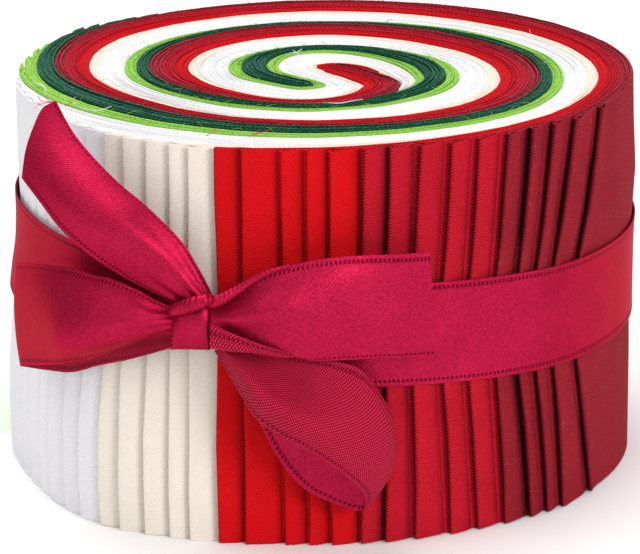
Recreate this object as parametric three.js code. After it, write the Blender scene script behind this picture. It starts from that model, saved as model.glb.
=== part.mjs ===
// A bundle of folded cotton strips in seven colours, stacked, wound into a drum and tied round its middle
// with a satin ribbon and a bow.
//
// Millimetres, +Z up. The drum stands on its flat end at z = 0, its axis is the Z axis, and its front, with
// the stepped strip ends and the bow, faces -Y. Each strip lies folded double, and each colour is one solid
// of its wound form: from the eye of the roll, where the stack is folded into an S, out to its stepped ends.
import * as THREE from "three";

const STRIP_WIDTH = 63.5;
const ROLL_RADIUS = 52;
const GAP = 0.3;
const STEPS_PER_TURN = 40;

const RIBBON_WIDTH = 16.4;
const RIBBON_THICKNESS = 1;
const BELT_MIDDLE_Z = 34.6;
const BELT_TILT = 2.4;
const BELT_STEPS = 60;

// The knot is the ribbon drawn once round the middle of the bow. back and front are stand-offs from the drum.
const KNOT = { bearing: -20.9, width: 6.4, low: 32.9, high: 40.6, back: 1.3, front: 8.2 };

// The colours from the inner face of the stack to its outer face. lift is how far a colour stands above the
// others. first is where it starts along the eye, see EYE_ROOM. ends are the bearings of its strips' outer
// ends, from the outermost strip inwards: degrees from the front, positive to the right.
const COLOURS = [
  { name: "strips_green", strips: 5, lift: 0.6, first: -0.92, colour: 0x1f4f3a,
    ends: [-127.0, -131.5, -136.5, -141.0, -146.0] },
  { name: "strips_lime", strips: 5, lift: 0.3, first: -0.87, colour: 0x9ccb4a,
    ends: [-97.5, -103.5, -109.0, -116.0, -122.0] },
  { name: "strips_white", strips: 10, lift: 0, first: -0.83, colour: 0xf1f1f4,
    ends: [-45.0, -50.0, -55.5, -60.0, -65.5, -70.5, -75.5, -81.0, -86.0, -91.5] },
  { name: "strips_cream", strips: 5, lift: 0, first: -0.77, colour: 0xf2eddf,
    ends: [-22.8, -26.5, -31.0, -35.9, -40.0] },
  { name: "strips_red", strips: 5, lift: 0.2, first: -0.73, colour: 0xe01018,
    ends: [2.1, -1.9, -6.2, -13.0, -17.7] },
  { name: "strips_crimson", strips: 5, lift: 0.4, first: 0.03, colour: 0xb8182e,
    ends: [27.6, 22.7, 17.1, 12.0, 7.5] },
  { name: "strips_dark_red", strips: 5, lift: 0.5, first: 0.07, colour: 0x98182c,
    ends: [55.2, 47.6, 42.7, 37.8, 33.0] },
];
const STRIPS = COLOURS.reduce((sum, c) => sum + c.strips, 0);

// How many strips' room each colour takes along the eye. along is in turns from the fold that crosses the
// middle: negative on the short inner tail, counted on the seam, and positive outwards, on the outer face.
const EYE_ROOM = [
  { along: -0.93, room: [5, 0, 0, 0, 0, 0, 0] },
  { along: -0.9, room: [5, 0, 0, 0, 0, 0, 0] },
  { along: -0.87, room: [5, 3, 0, 0, 0, 0, 0] },
  { along: -0.83, room: [5, 4, 4, 0, 0, 0, 0] },
  { along: -0.8, room: [5, 4.5, 6.5, 0, 0, 0, 0] },
  { along: -0.77, room: [5, 5, 8, 2.2, 0, 0, 0] },
  { along: -0.73, room: [5, 5, 10, 3, 2.6, 0, 0] },
  { along: -0.68, room: [5, 5, 10, 4, 5.5, 0, 0] },
  { along: -0.6, room: [5, 5, 10, 5, 7, 0, 0] },
  { along: -0.55, room: [5, 5, 10, 5, 6, 0, 0] },
  { along: -0.46, room: [5, 5, 10, 5, 3.6, 0, 0] },
  { along: 0, room: [4.4, 4.4, 10.4, 5.2, 3.2, 0, 0] },
  { along: 0.03, room: [4.6, 4.6, 10.2, 5, 4, 2, 0] },
  { along: 0.07, room: [4.8, 4.8, 10, 5, 4.3, 3.1, 1.8] },
  { along: 0.14, room: [5, 5, 10, 5, 4.6, 4.2, 3.4] },
  { along: 0.22, room: [5, 5, 10, 5, 4.8, 4.6, 4.2] },
  { along: 0.32, room: [5, 5, 10, 5, 5, 5, 5] },
];

// The outer face of the wound stack: turns clockwise from the back, seen from above, and its radius there.
const OUTER_FACE = [
  { turn: 0.086, radius: 2.9 },
  { turn: 0.175, radius: 4.5 },
  { turn: 0.25, radius: 7.0 },
  { turn: 0.31, radius: 10.8 },
  { turn: 0.345, radius: 16.2 },
  { turn: 0.38, radius: 19.1 },
  { turn: 0.43, radius: 22.2 },
  { turn: 0.5, radius: 25.2 },
  { turn: 0.625, radius: 25.4 },
  { turn: 0.75, radius: 27.7 },
  { turn: 0.875, radius: 30.4 },
  { turn: 1.0, radius: 31.9 },
  { turn: 1.125, radius: 32.6 },
  { turn: 1.25, radius: 36.2 },
  { turn: 1.375, radius: 39.9 },
  { turn: 1.5, radius: 38.8 },
  { turn: 1.625, radius: 37.6 },
  { turn: 1.75, radius: 43.0 },
  { turn: 1.875, radius: 49.0 },
  { turn: 2.0, radius: 50.4 },
  { turn: 2.125, radius: 51.2 },
  { turn: 2.25, radius: 52.0 },
  { turn: 2.36, radius: 52.3 },
];

// The seam inside the eye, where the stack's inner face meets itself, from the first fold outwards.
const EYE_SEAM = [
  { turn: 0.536, radius: 11.3 },
  { turn: 0.625, radius: 9.6 },
  { turn: 0.75, radius: 10.0 },
  { turn: 0.8125, radius: 11.1 },
  { turn: 0.875, radius: 12.4 },
  { turn: 1.0, radius: 14.5 },
  { turn: 1.125, radius: 15.3 },
  { turn: 1.25, radius: 18.4 },
  { turn: 1.33, radius: 21.0 },
  { turn: 1.4, radius: 23.0 },
  { turn: 1.47, radius: 24.6 },
];

// The short inner tail lies between the seam and the outer face: matching turns on the two.
const TAIL = [
  { seam: 0.536, face: 0.086 },
  { seam: 1.11, face: 0.087 },
  { seam: 1.155, face: 0.175 },
  { seam: 1.22, face: 0.25 },
  { seam: 1.265, face: 0.31 },
  { seam: 1.31, face: 0.345 },
  { seam: 1.4, face: 0.4 },
  { seam: 1.47, face: 0.45 },
];

// How thick one folded strip lies where the strips end one after another round the outside.
const STRIP_LAYER = [
  { turn: 2.345, layer: 0.325 },
  { turn: 2.42, layer: 0.35 },
  { turn: 2.5, layer: 0.44 },
  { turn: 2.56, layer: 0.53 },
  { turn: 2.64, layer: 0.68 },
  { turn: 2.75, layer: 0.6 },
  { turn: 2.84, layer: 0.46 },
  { turn: 2.91, layer: 0.42 },
];
const ENDS_START = STRIP_LAYER[0].turn;

// The rounded outer end of a strip, and the least depth of a colour where its strips run out.
const FOLD_NOSE = 0.6;
const FOLD_DROP = 0.3;
const STRIP_CROWN = 0.15;
const LEAST_DEPTH = 0.7;
const LEAST_STEP = 0.15;

// The foot of the drum swells out at the front left, below the ribbon: bearings where the swelling begins, is
// whole, and has gone again.
const SWELLING = { size: 3.4, top: 37, begins: 4, whole: -54, wholeTo: -98, gone: -156 };

// The bow's pieces: each row gives the two edges of the ribbon at one place, from its root at the knot. a is
// the bearing in degrees, z the height and h the stand-off in millimetres; bulge is how far it is crowned.
const LEFT_LOOP = [
  { a0: -24.55, z0: 33.6, h0: 2.9, a1: -24.55, z1: 38.4, h1: 3.1, bulge: 0 },
  { a0: -33, z0: 29.2, h0: 2.9, a1: -32, z1: 41.5, h1: 3.0, bulge: 0.2 },
  { a0: -41, z0: 26.2, h0: 3.0, a1: -40, z1: 42.0, h1: 3.2, bulge: 0.2 },
  { a0: -49.5, z0: 24.4, h0: 3.8, a1: -48, z1: 41.4, h1: 4.2, bulge: 0 },
  { a0: -53.6, z0: 24.6, h0: 6.2, a1: -53.4, z1: 41.6, h1: 6.6, bulge: 0 },
  { a0: -50, z0: 25.8, h0: 8.6, a1: -49.6, z1: 42.8, h1: 8.8, bulge: 0.4 },
  { a0: -43.7, z0: 27.6, h0: 9.3, a1: -41.4, z1: 44.3, h1: 9.0, bulge: 1.2 },
  { a0: -36.5, z0: 30.2, h0: 9.0, a1: -35, z1: 44.0, h1: 8.0, bulge: 1.8 },
  { a0: -30, z0: 32.9, h0: 7.6, a1: -29.2, z1: 42.0, h1: 6.6, bulge: 1.2 },
  { a0: -24.6, z0: 34.2, h0: 6.0, a1: -24.6, z1: 39.4, h1: 5.6, bulge: 0.3 },
];
const RIGHT_LOOP = [
  { a0: -17.2, z0: 31.4, h0: 2.9, a1: -12.0, z1: 31.9, h1: 2.7, bulge: 0 },
  { a0: -12.0, z0: 24.6, h0: 2.9, a1: -6.0, z1: 31.6, h1: 2.7, bulge: 0.1 },
  { a0: -6.9, z0: 16.8, h0: 2.9, a1: 0.0, z1: 30.2, h1: 2.7, bulge: 0.1 },
  { a0: 0.4, z0: 9.6, h0: 2.8, a1: 5.5, z1: 25.6, h1: 2.7, bulge: 0.1 },
  { a0: 5.6, z0: 7.5, h0: 3.4, a1: 9.6, z1: 22.0, h1: 3.6, bulge: 0 },
  { a0: 7.8, z0: 9.2, h0: 5.8, a1: 10.2, z1: 24.2, h1: 5.2, bulge: 0 },
  { a0: 4.6, z0: 14.2, h0: 9.0, a1: 8.2, z1: 28.6, h1: 5.6, bulge: 0.3 },
  { a0: -1.0, z0: 19.0, h0: 9.6, a1: 3.4, z1: 31.6, h1: 5.0, bulge: -0.8 },
  { a0: -7.6, z0: 23.4, h0: 8.2, a1: -3.0, z1: 32.0, h1: 4.6, bulge: -0.9 },
  { a0: -13.6, z0: 28.8, h0: 6.0, a1: -8.6, z1: 31.6, h1: 4.7, bulge: -0.3 },
  { a0: -16.4, z0: 31.7, h0: 5.2, a1: -12.6, z1: 31.9, h1: 5.0, bulge: 0 },
];
const LEFT_TAIL = [
  { a0: -22.2, z0: 41.2, h0: 5.4, a1: -17.4, z1: 42.6, h1: 4.6, bulge: 0 },
  { a0: -26.4, z0: 42.6, h0: 8.0, a1: -21.0, z1: 48.6, h1: 3.9, bulge: 0.6 },
  { a0: -31.2, z0: 46.0, h0: 10.2, a1: -26.6, z1: 53.4, h1: 3.5, bulge: 1.4 },
  { a0: -36.6, z0: 50.2, h0: 11.4, a1: -32.8, z1: 58.0, h1: 3.2, bulge: 2.0 },
  { a0: -42.0, z0: 55.6, h0: 12.0, a1: -39.8, z1: 62.6, h1: 3.4, bulge: 2.2 },
  { a0: -45.1, z0: 58.4, h0: 12.0, a1: -46.8, z1: 68.4, h1: 4.0, bulge: 2.0 },
];
const RIGHT_TAIL = [
  { a0: -17.1, z0: 34.2, h0: 6.6, a1: -17.1, z1: 40.6, h1: 5.2, bulge: 0.4 },
  { a0: -10.4, z0: 33.9, h0: 7.6, a1: -11.9, z1: 43.9, h1: 5.4, bulge: 0.9 },
  { a0: -4.6, z0: 33.2, h0: 7.6, a1: -6.0, z1: 47.0, h1: 5.0, bulge: 1.2 },
  { a0: 1.4, z0: 32.4, h0: 6.6, a1: 0.0, z1: 48.2, h1: 4.6, bulge: 0.8 },
  { a0: 7.6, z0: 32.1, h0: 5.2, a1: 7.7, z1: 48.5, h1: 4.2, bulge: 0.3 },
  { a0: 13.2, z0: 31.8, h0: 4.0, a1: 13.0, z1: 48.2, h1: 3.8, bulge: 0 },
  { a0: 18.0, z0: 31.6, h0: 3.2, a1: 17.8, z1: 47.9, h1: 3.2, bulge: 0 },
];
const RIBBON_COLUMNS = 5;
const POINTS_PER_ROW = 3;

// A monotone cubic through a table's rows, so that a curve never swings past the values it joins.
function curveThrough(rows, x, y) {
  const slopes = rows.slice(1).map((row, i) => (row[y] - rows[i][y]) / (row[x] - rows[i][x]));
  const tangents = rows.map((row, i) => {
    if (i === 0) return slopes[0];
    if (i === rows.length - 1) return slopes[i - 1];
    if (slopes[i - 1] * slopes[i] <= 0) return 0;
    return (2 * slopes[i - 1] * slopes[i]) / (slopes[i - 1] + slopes[i]);
  });
  return (at) => {
    let i = rows.findIndex((row) => row[x] >= at) - 1;
    if (at >= rows[rows.length - 1][x]) i = rows.length - 2;
    i = Math.max(0, Math.min(rows.length - 2, i));
    const span = rows[i + 1][x] - rows[i][x];
    const s = Math.max(0, Math.min(1, (at - rows[i][x]) / span));
    return (
      (1 + 2 * s) * (1 - s) ** 2 * rows[i][y] +
      s * (1 - s) ** 2 * span * tangents[i] +
      s * s * (3 - 2 * s) * rows[i + 1][y] -
      s * s * (1 - s) * span * tangents[i + 1]
    );
  };
}

const outerFace = curveThrough(OUTER_FACE, "turn", "radius");
const eyeSeam = curveThrough(EYE_SEAM, "turn", "radius");
const tailFace = curveThrough(TAIL, "seam", "face");
const looseLayer = curveThrough(STRIP_LAYER, "turn", "layer");
const SEAM_START = EYE_SEAM[0].turn;
const SEAM_END = EYE_SEAM[EYE_SEAM.length - 1].turn;
const FACE_START = OUTER_FACE[0].turn;

const innerFace = (turn) => (turn < SEAM_END ? eyeSeam(turn) : outerFace(turn - 1));
const layerAt = (turn) =>
  turn < ENDS_START ? (outerFace(turn) - innerFace(turn)) / STRIPS : looseLayer(turn);
const endTurn = (bearing) => 2.5 - bearing / 360;
const polar = (turn, radius) =>
  new THREE.Vector2(radius * Math.sin(2 * Math.PI * turn), radius * Math.cos(2 * Math.PI * turn));

// The shares of the stack, from its inner to its outer face, between which a colour lies.
function sharesAt(index, along) {
  const after = EYE_ROOM.findIndex((row) => row.along >= along);
  const room = COLOURS.map((c, i) => {
    if (after < 0) return c.strips;
    if (after === 0) return EYE_ROOM[0].room[i];
    const low = EYE_ROOM[after - 1];
    const high = EYE_ROOM[after];
    return THREE.MathUtils.mapLinear(along, low.along, high.along, low.room[i], high.room[i]);
  });
  const sum = room.reduce((a, b) => a + b, 0);
  const before = room.slice(0, index).reduce((a, b) => a + b, 0);
  return [before / sum, (before + room[index]) / sum];
}

// The two sides of a colour's band at one place, drawn in by half a gap from its neighbours.
function bandSides(inner, outer, low, high) {
  const across = outer.clone().sub(inner);
  const inset = GAP / 2 / across.length();
  return {
    inner: inner.clone().addScaledVector(across, low + inset),
    outer: inner.clone().addScaledVector(across, high - inset),
  };
}

// The inner and outer face of the whole stack at a place along the eye.
function facesAt(along) {
  const seamTurn = along < 0 ? SEAM_START - along : SEAM_START;
  const faceTurn = along < 0 ? Math.max(FACE_START, tailFace(seamTurn)) : FACE_START + along;
  const innerTurn = Math.max(seamTurn, faceTurn);
  const inner = polar(innerTurn, innerTurn > SEAM_START ? innerFace(innerTurn) : eyeSeam(SEAM_START));
  return [inner, polar(faceTurn, outerFace(faceTurn))];
}

// How deep a colour lies with this many of its strips left.
function depthOf(turn, strips, whole) {
  const depth = strips * layerAt(turn) - GAP;
  return strips === whole ? depth : Math.max(depth, LEAST_DEPTH + LEAST_STEP * (strips - 1));
}

// A colour's outline seen from above: the tail, the S-fold of the eye, the turns and the stepped outer ends.
function bandOutline(index) {
  const colour = COLOURS[index];
  const below = COLOURS.slice(0, index).reduce((sum, c) => sum + c.strips, 0);
  const innerSide = [];
  const outerSide = [];

  const exit = Math.ceil((SEAM_START + 0.01) * STEPS_PER_TURN) / STEPS_PER_TURN;
  const eyeEnd = exit - FACE_START;
  const eyeSteps = Math.round((eyeEnd - colour.first) * STEPS_PER_TURN * 1.2);
  for (let i = 0; i < eyeSteps; i++) {
    const along = colour.first + ((eyeEnd - colour.first) * i) / eyeSteps;
    const sides = bandSides(...facesAt(along), ...sharesAt(index, along));
    innerSide.push(sides.inner);
    outerSide.push(sides.outer);
  }

  const floorRadius = (turn) => innerFace(turn) + layerAt(turn) * below + GAP / 2;
  const top = (turn, strips) => floorRadius(turn) + depthOf(turn, strips, colour.strips);
  const ends = colour.ends.map(endTurn);
  const lastEnd = ends[ends.length - 1];
  const step = (turn) => (turn < ENDS_START ? 1 : 0.5) / STEPS_PER_TURN;
  for (let turn = exit; turn < lastEnd - 0.004; turn += step(turn)) {
    innerSide.push(polar(turn, floorRadius(turn)));
    if (turn < ends[0] - 0.012) outerSide.push(polar(turn, top(turn, colour.strips)));
  }
  innerSide.push(polar(lastEnd, floorRadius(lastEnd)));

  let start = ends[0] - 0.01;
  ends.forEach((end, i) => {
    const strips = colour.strips - i;
    const nose = end - FOLD_NOSE / (2 * Math.PI * ROLL_RADIUS);
    const at = (turn, raise) => polar(turn, top(turn, strips) + raise);
    outerSide.push(at((start + nose) / 2, STRIP_CROWN), at(nose, 0), at(end, -FOLD_DROP));
    start = end + 0.0003;
    if (strips > 1) outerSide.push(polar(start, Math.min(top(start, strips - 1), top(end, strips) - 0.4)));
  });
  return [...outerSide, ...innerSide.reverse()];
}

// How much further out than at the top a point of the drum lies.
function swellAt(x, y, z) {
  const radius = Math.hypot(x, y);
  const bearing = THREE.MathUtils.radToDeg(Math.atan2(x, -y));
  const side =
    THREE.MathUtils.smoothstep(-bearing, -SWELLING.begins, -SWELLING.whole) *
    (1 - THREE.MathUtils.smoothstep(-bearing, -SWELLING.wholeTo, -SWELLING.gone));
  const height = Math.max(0, 1 - z / SWELLING.top);
  return 1 + (SWELLING.size / ROLL_RADIUS) * side * height * (radius / ROLL_RADIUS) ** 2;
}

// An outline raised through the heights given, swelling at its foot, and closed top and bottom.
function drumSolid(outline, heights) {
  const points = THREE.ShapeUtils.area(outline) < 0 ? outline.slice().reverse() : outline;
  const count = points.length;
  const caps = THREE.ShapeUtils.triangulateShape(points, []);
  const positions = [];
  for (const z of heights) {
    for (const { x, y } of points) positions.push(x * swellAt(x, y, z), y * swellAt(x, y, z), z);
  }
  const index = [];
  const top = (heights.length - 1) * count;
  for (const [a, b, c] of caps) index.push(a, c, b, a + top, b + top, c + top);
  for (let level = 0; level < top; level += count) {
    for (let i = 0; i < count; i++) {
      const next = (i + 1) % count;
      index.push(level + i, level + next, level + next + count);
      index.push(level + i, level + next + count, level + i + count);
    }
  }
  const geometry = new THREE.BufferGeometry();
  geometry.setAttribute("position", new THREE.Float32BufferAttribute(positions, 3));
  geometry.setIndex(index);
  return geometry;
}

// A grid of points with a thickness: sheet[row][column] is the middle surface, closed to a solid all round.
function sheetSolid(sheet, thickness, ring = false) {
  const rows = sheet.length;
  const columns = sheet[0].length;
  const at = (i) => (ring ? (i + rows) % rows : Math.max(0, Math.min(rows - 1, i)));
  const positions = [];
  for (const side of [-1, 1]) {
    for (let i = 0; i < rows; i++) {
      for (let j = 0; j < columns; j++) {
        const along = sheet[at(i + 1)][j].clone().sub(sheet[at(i - 1)][j]);
        const over = sheet[i][Math.min(columns - 1, j + 1)].clone().sub(sheet[i][Math.max(0, j - 1)]);
        const normal = along.cross(over).normalize();
        positions.push(...sheet[i][j].clone().addScaledVector(normal, (side * thickness) / 2));
      }
    }
  }
  const id = (side, i, j) => side * rows * columns + at(i) * columns + j;
  const index = [];
  const quad = (a, b, c, d) => index.push(a, b, c, a, c, d);
  const spans = ring ? rows : rows - 1;
  for (let i = 0; i < spans; i++) {
    for (let j = 0; j < columns - 1; j++) {
      quad(id(1, i, j), id(1, i + 1, j), id(1, i + 1, j + 1), id(1, i, j + 1));
      quad(id(0, i, j), id(0, i, j + 1), id(0, i + 1, j + 1), id(0, i + 1, j));
    }
    const last = columns - 1;
    quad(id(0, i, 0), id(0, i + 1, 0), id(1, i + 1, 0), id(1, i, 0));
    quad(id(0, i, last), id(1, i, last), id(1, i + 1, last), id(0, i + 1, last));
  }
  for (let j = 0; !ring && j < columns - 1; j++) {
    const last = rows - 1;
    quad(id(0, 0, j), id(1, 0, j), id(1, 0, j + 1), id(0, 0, j + 1));
    quad(id(0, last, j), id(0, last, j + 1), id(1, last, j + 1), id(1, last, j));
  }
  const geometry = new THREE.BufferGeometry();
  geometry.setAttribute("position", new THREE.Float32BufferAttribute(positions, 3));
  geometry.setIndex(index);
  return geometry;
}

// A point by its bearing from the front, its height, and how far it stands off the drum's nominal radius.
function onDrum(bearing, z, off) {
  const angle = THREE.MathUtils.degToRad(bearing);
  const radius = ROLL_RADIUS + off;
  return new THREE.Vector3(radius * Math.sin(angle), -radius * Math.cos(angle), z);
}

// The drum's outside, without its steps, at a bearing from the front.
function drumRadius(bearing) {
  const turn = endTurn(bearing);
  if (turn < ENDS_START) return outerFace(turn);
  const left = COLOURS.flatMap((c) => c.ends).filter((end) => endTurn(end) >= turn).length;
  return left > 0 ? innerFace(turn) + layerAt(turn) * left : outerFace(turn - 1);
}

const wrap = (bearing) => ((bearing + 540) % 360) - 180;

function beltSheet() {
  const sheet = [];
  for (let i = 0; i < BELT_STEPS; i++) {
    const bearing = wrap(KNOT.bearing - (360 * i) / BELT_STEPS);
    const reach = Math.max(...[-6, -3, 0, 3, 6].map((aside) => drumRadius(wrap(bearing + aside))));
    const off = reach - ROLL_RADIUS + GAP + RIBBON_THICKNESS / 2 + STRIP_CROWN + 0.1;
    const middle = BELT_MIDDLE_Z - BELT_TILT * Math.sin(THREE.MathUtils.degToRad(bearing));
    const gather = 1 - 0.45 * Math.exp(-((wrap(bearing - KNOT.bearing) / 9) ** 2));
    const half = (RIBBON_WIDTH / 2) * gather;
    const edge = (z) => {
      const point = onDrum(bearing, z, off);
      const swell = swellAt(point.x, point.y, z);
      return new THREE.Vector3(point.x * swell, point.y * swell, z);
    };
    sheet.push([edge(middle - half), edge(middle + half)]);
  }
  return sheet;
}

// A length of ribbon laid through the rows of its table.
function ribbonSheet(rows) {
  const low = new THREE.CatmullRomCurve3(rows.map((r) => onDrum(r.a0, r.z0, r.h0)));
  const high = new THREE.CatmullRomCurve3(rows.map((r) => onDrum(r.a1, r.z1, r.h1)));
  const steps = (rows.length - 1) * POINTS_PER_ROW;
  const sheet = [];
  for (let i = 0; i <= steps; i++) {
    const t = i / steps;
    const row = Math.min(rows.length - 2, Math.floor(i / POINTS_PER_ROW));
    const part = i / POINTS_PER_ROW - row;
    const bulge = rows[row].bulge * (1 - part) + rows[row + 1].bulge * part;
    const a = low.getPoint(t);
    const b = high.getPoint(t);
    const outward = new THREE.Vector3(a.x + b.x, a.y + b.y, 0).normalize();
    const line = [];
    for (let j = 0; j < RIBBON_COLUMNS; j++) {
      const v = j / (RIBBON_COLUMNS - 1);
      line.push(a.clone().lerp(b, v).addScaledVector(outward, 4 * v * (1 - v) * bulge));
    }
    sheet.push(line);
  }
  return sheet;
}

// A soft pad with drawn-in sides, rounded above and below.
function knotSolid() {
  const loops = 7;
  const sides = 16;
  const positions = [];
  const index = [];
  for (let i = 0; i < loops; i++) {
    const v = i / (loops - 1);
    const round = Math.sqrt(1 - (2 * v - 1) ** 2 * 0.72);
    const z = KNOT.low + (KNOT.high - KNOT.low) * v;
    for (let k = 0; k < sides; k++) {
      const angle = (2 * Math.PI * k) / sides;
      const soft = (value) => Math.sign(value) * Math.abs(value) ** 0.7;
      const half = (KNOT.width / 2) * (0.86 + 0.14 * round);
      const bearing = KNOT.bearing + THREE.MathUtils.radToDeg((half * soft(Math.cos(angle))) / 56);
      const middle = (KNOT.back + KNOT.front) / 2;
      const reach = ((KNOT.front - KNOT.back) / 2) * soft(Math.sin(angle));
      const off = middle + (reach > 0 ? reach * round : reach);
      positions.push(...onDrum(bearing, z, off));
    }
  }
  for (let i = 0; i < loops - 1; i++) {
    for (let k = 0; k < sides; k++) {
      const a = i * sides + k;
      const b = i * sides + ((k + 1) % sides);
      index.push(a, b + sides, b, a, a + sides, b + sides);
    }
  }
  for (let k = 1; k < sides - 1; k++) {
    const top = (loops - 1) * sides;
    index.push(0, k, k + 1, top, top + k + 1, top + k);
  }
  const geometry = new THREE.BufferGeometry();
  geometry.setAttribute("position", new THREE.Float32BufferAttribute(positions, 3));
  geometry.setIndex(index);
  return geometry;
}

function cloth(colour, roughness) {
  return new THREE.MeshStandardMaterial({ color: colour, roughness, metalness: 0 });
}

const bundle = new THREE.Group();
function addPiece(name, geometry, material) {
  const mesh = new THREE.Mesh(geometry, material);
  mesh.name = name;
  bundle.add(mesh);
}

COLOURS.forEach((colour, i) => {
  const strip = drumSolid(bandOutline(i), [0, SWELLING.top, STRIP_WIDTH]);
  const mesh = new THREE.Mesh(strip, cloth(colour.colour, 0.85));
  mesh.name = colour.name;
  mesh.position.z = colour.lift;
  bundle.add(mesh);
});

const satin = cloth(0xb81545, 0.4);
addPiece("ribbon_belt", sheetSolid(beltSheet(), RIBBON_THICKNESS, true), satin);
addPiece("bow_knot", knotSolid(), satin);
addPiece("bow_left_loop", sheetSolid(ribbonSheet(LEFT_LOOP), RIBBON_THICKNESS), satin);
addPiece("bow_right_loop", sheetSolid(ribbonSheet(RIGHT_LOOP), RIBBON_THICKNESS), satin);
addPiece("bow_left_tail", sheetSolid(ribbonSheet(LEFT_TAIL), RIBBON_THICKNESS), satin);
addPiece("bow_right_tail", sheetSolid(ribbonSheet(RIGHT_TAIL), RIBBON_THICKNESS), satin);

export default bundle;
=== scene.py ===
import math

import bpy
import numpy as np
from mathutils import Matrix, Vector


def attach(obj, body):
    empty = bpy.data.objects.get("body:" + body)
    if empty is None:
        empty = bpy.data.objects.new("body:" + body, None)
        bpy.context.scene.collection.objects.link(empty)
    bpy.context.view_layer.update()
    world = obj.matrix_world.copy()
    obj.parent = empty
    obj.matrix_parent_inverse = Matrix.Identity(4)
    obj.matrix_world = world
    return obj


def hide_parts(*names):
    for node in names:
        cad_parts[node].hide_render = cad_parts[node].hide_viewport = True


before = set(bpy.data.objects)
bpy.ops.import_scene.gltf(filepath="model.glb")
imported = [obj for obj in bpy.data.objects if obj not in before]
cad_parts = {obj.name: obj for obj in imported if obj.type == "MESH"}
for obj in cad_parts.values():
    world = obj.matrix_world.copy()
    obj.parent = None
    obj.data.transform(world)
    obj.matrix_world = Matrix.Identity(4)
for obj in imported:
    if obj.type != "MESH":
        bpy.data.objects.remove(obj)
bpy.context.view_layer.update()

# Lengths below are millimetres, and angles are degrees. Bearings run round the drum from its front, and are
# positive to the right. Turns run clockwise from the back, seen from above.
MM = 0.001
STRIP_WIDTH = 63.5
ROLL_RADIUS = 52
MM_PER_TURN = 2 * math.pi * ROLL_RADIUS
RIBBON_WIDTH = 16.4
RIBBON_THICKNESS = 0.25
BELT_MIDDLE_Z = 34.6
BELT_TILT = 2.4
KNOT_BEARING = -20.9
FRONT_TURN = 2.5
RANDOM_SEED = 11

# The colours from the inner face of the stack to its outer face. lift is how far a colour stands above the
# others, first is where it starts along the eye, ends are the bearings of its strips' outer ends, outermost
# first, and puff is how far a folded end stands up.
COLOURS = [
    dict(name="green", strips=5, lift=0.6, first=-0.92, puff=-0.15,
         ends=[-127.0, -131.5, -136.5, -141.0, -146.0]),
    dict(name="lime", strips=5, lift=0.3, first=-0.87, puff=-0.2,
         ends=[-97.5, -103.5, -109.0, -116.0, -122.0]),
    dict(name="white", strips=10, lift=0.0, first=-0.83, puff=-0.3,
         ends=[-45.0, -50.0, -55.5, -60.0, -65.5, -70.5, -75.5, -81.0, -86.0, -91.5]),
    dict(name="cream", strips=5, lift=0.0, first=-0.77, puff=0.05,
         ends=[-22.8, -26.5, -31.0, -35.9, -40.0]),
    dict(name="red", strips=5, lift=0.2, first=-0.73, puff=0.5,
         ends=[2.1, -1.9, -6.2, -13.0, -17.7]),
    dict(name="crimson", strips=5, lift=0.4, first=0.03, puff=0.9,
         ends=[27.6, 22.7, 17.1, 12.0, 7.5]),
    dict(name="dark_red", strips=5, lift=0.5, first=0.07, puff=1.0,
         ends=[55.2, 47.6, 42.7, 37.8, 33.0]),
]
STRIPS = sum(c["strips"] for c in COLOURS)

# How many strips' room each colour takes along the eye.
EYE_ROOM = [
    (-0.9, [5, 0, 0, 0, 0, 0, 0]),
    (-0.87, [5, 3, 0, 0, 0, 0, 0]),
    (-0.83, [5, 4, 4, 0, 0, 0, 0]),
    (-0.8, [5, 4.5, 6.5, 0, 0, 0, 0]),
    (-0.77, [5, 5, 8, 2.2, 0, 0, 0]),
    (-0.73, [5, 5, 10, 3, 2.6, 0, 0]),
    (-0.68, [5, 5, 10, 4, 5.5, 0, 0]),
    (-0.6, [5, 5, 10, 5, 7, 0, 0]),
    (-0.55, [5, 5, 10, 5, 6, 0, 0]),
    (-0.46, [5, 5, 10, 5, 3.6, 0, 0]),
    (0, [4.4, 4.4, 10.4, 5.2, 3.2, 0, 0]),
    (0.03, [4.6, 4.6, 10.2, 5, 4, 2, 0]),
    (0.07, [4.8, 4.8, 10, 5, 4.3, 3.1, 1.8]),
    (0.14, [5, 5, 10, 5, 4.6, 4.2, 3.4]),
    (0.22, [5, 5, 10, 5, 4.8, 4.6, 4.2]),
    (0.32, [5, 5, 10, 5, 5, 5, 5]),
]

# The same where the stack passes behind the eye and in front of it. Beside the eye all strips are alike, and
# so they are again from TIGHT_GONE on.
TIGHT_ROOM = [2.4, 3.6, 14.2, 5.2, 4.6, 5.0, 5.0]
LOOSE_ROOM = [c["strips"] for c in COLOURS]
TIGHT_FADES, TIGHT_GONE = 2.0, 2.3
# Along the eye this fades in over EYE_TIGHT, and at its back between the two pairs of EYE_TIGHT_BACK.
EYE_TIGHT, EYE_TIGHT_BACK = (0.22, 0.4), ((-0.7, -0.6), (-0.4, -0.25))

# Turn and radius of the stack's outer face, and of the seam where its inner face meets itself.
OUTER_FACE = [
    (0.086, 2.9), (0.175, 4.5), (0.25, 7.0), (0.31, 10.8), (0.345, 16.2), (0.38, 19.1), (0.43, 22.2),
    (0.5, 25.2), (0.625, 25.4), (0.75, 27.7), (0.875, 30.4), (1.0, 31.9), (1.125, 32.6), (1.25, 36.2),
    (1.375, 39.9), (1.5, 38.8), (1.625, 37.6), (1.75, 43.0), (1.875, 49.0), (2.0, 50.4), (2.125, 51.2),
    (2.25, 52.0), (2.36, 52.3),
]
EYE_SEAM = [
    (0.536, 11.3), (0.625, 9.6), (0.75, 10.0), (0.8125, 11.1), (0.875, 12.4), (1.0, 14.5), (1.125, 15.3),
    (1.25, 18.4), (1.33, 21.0), (1.4, 23.0), (1.47, 24.6),
]
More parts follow.
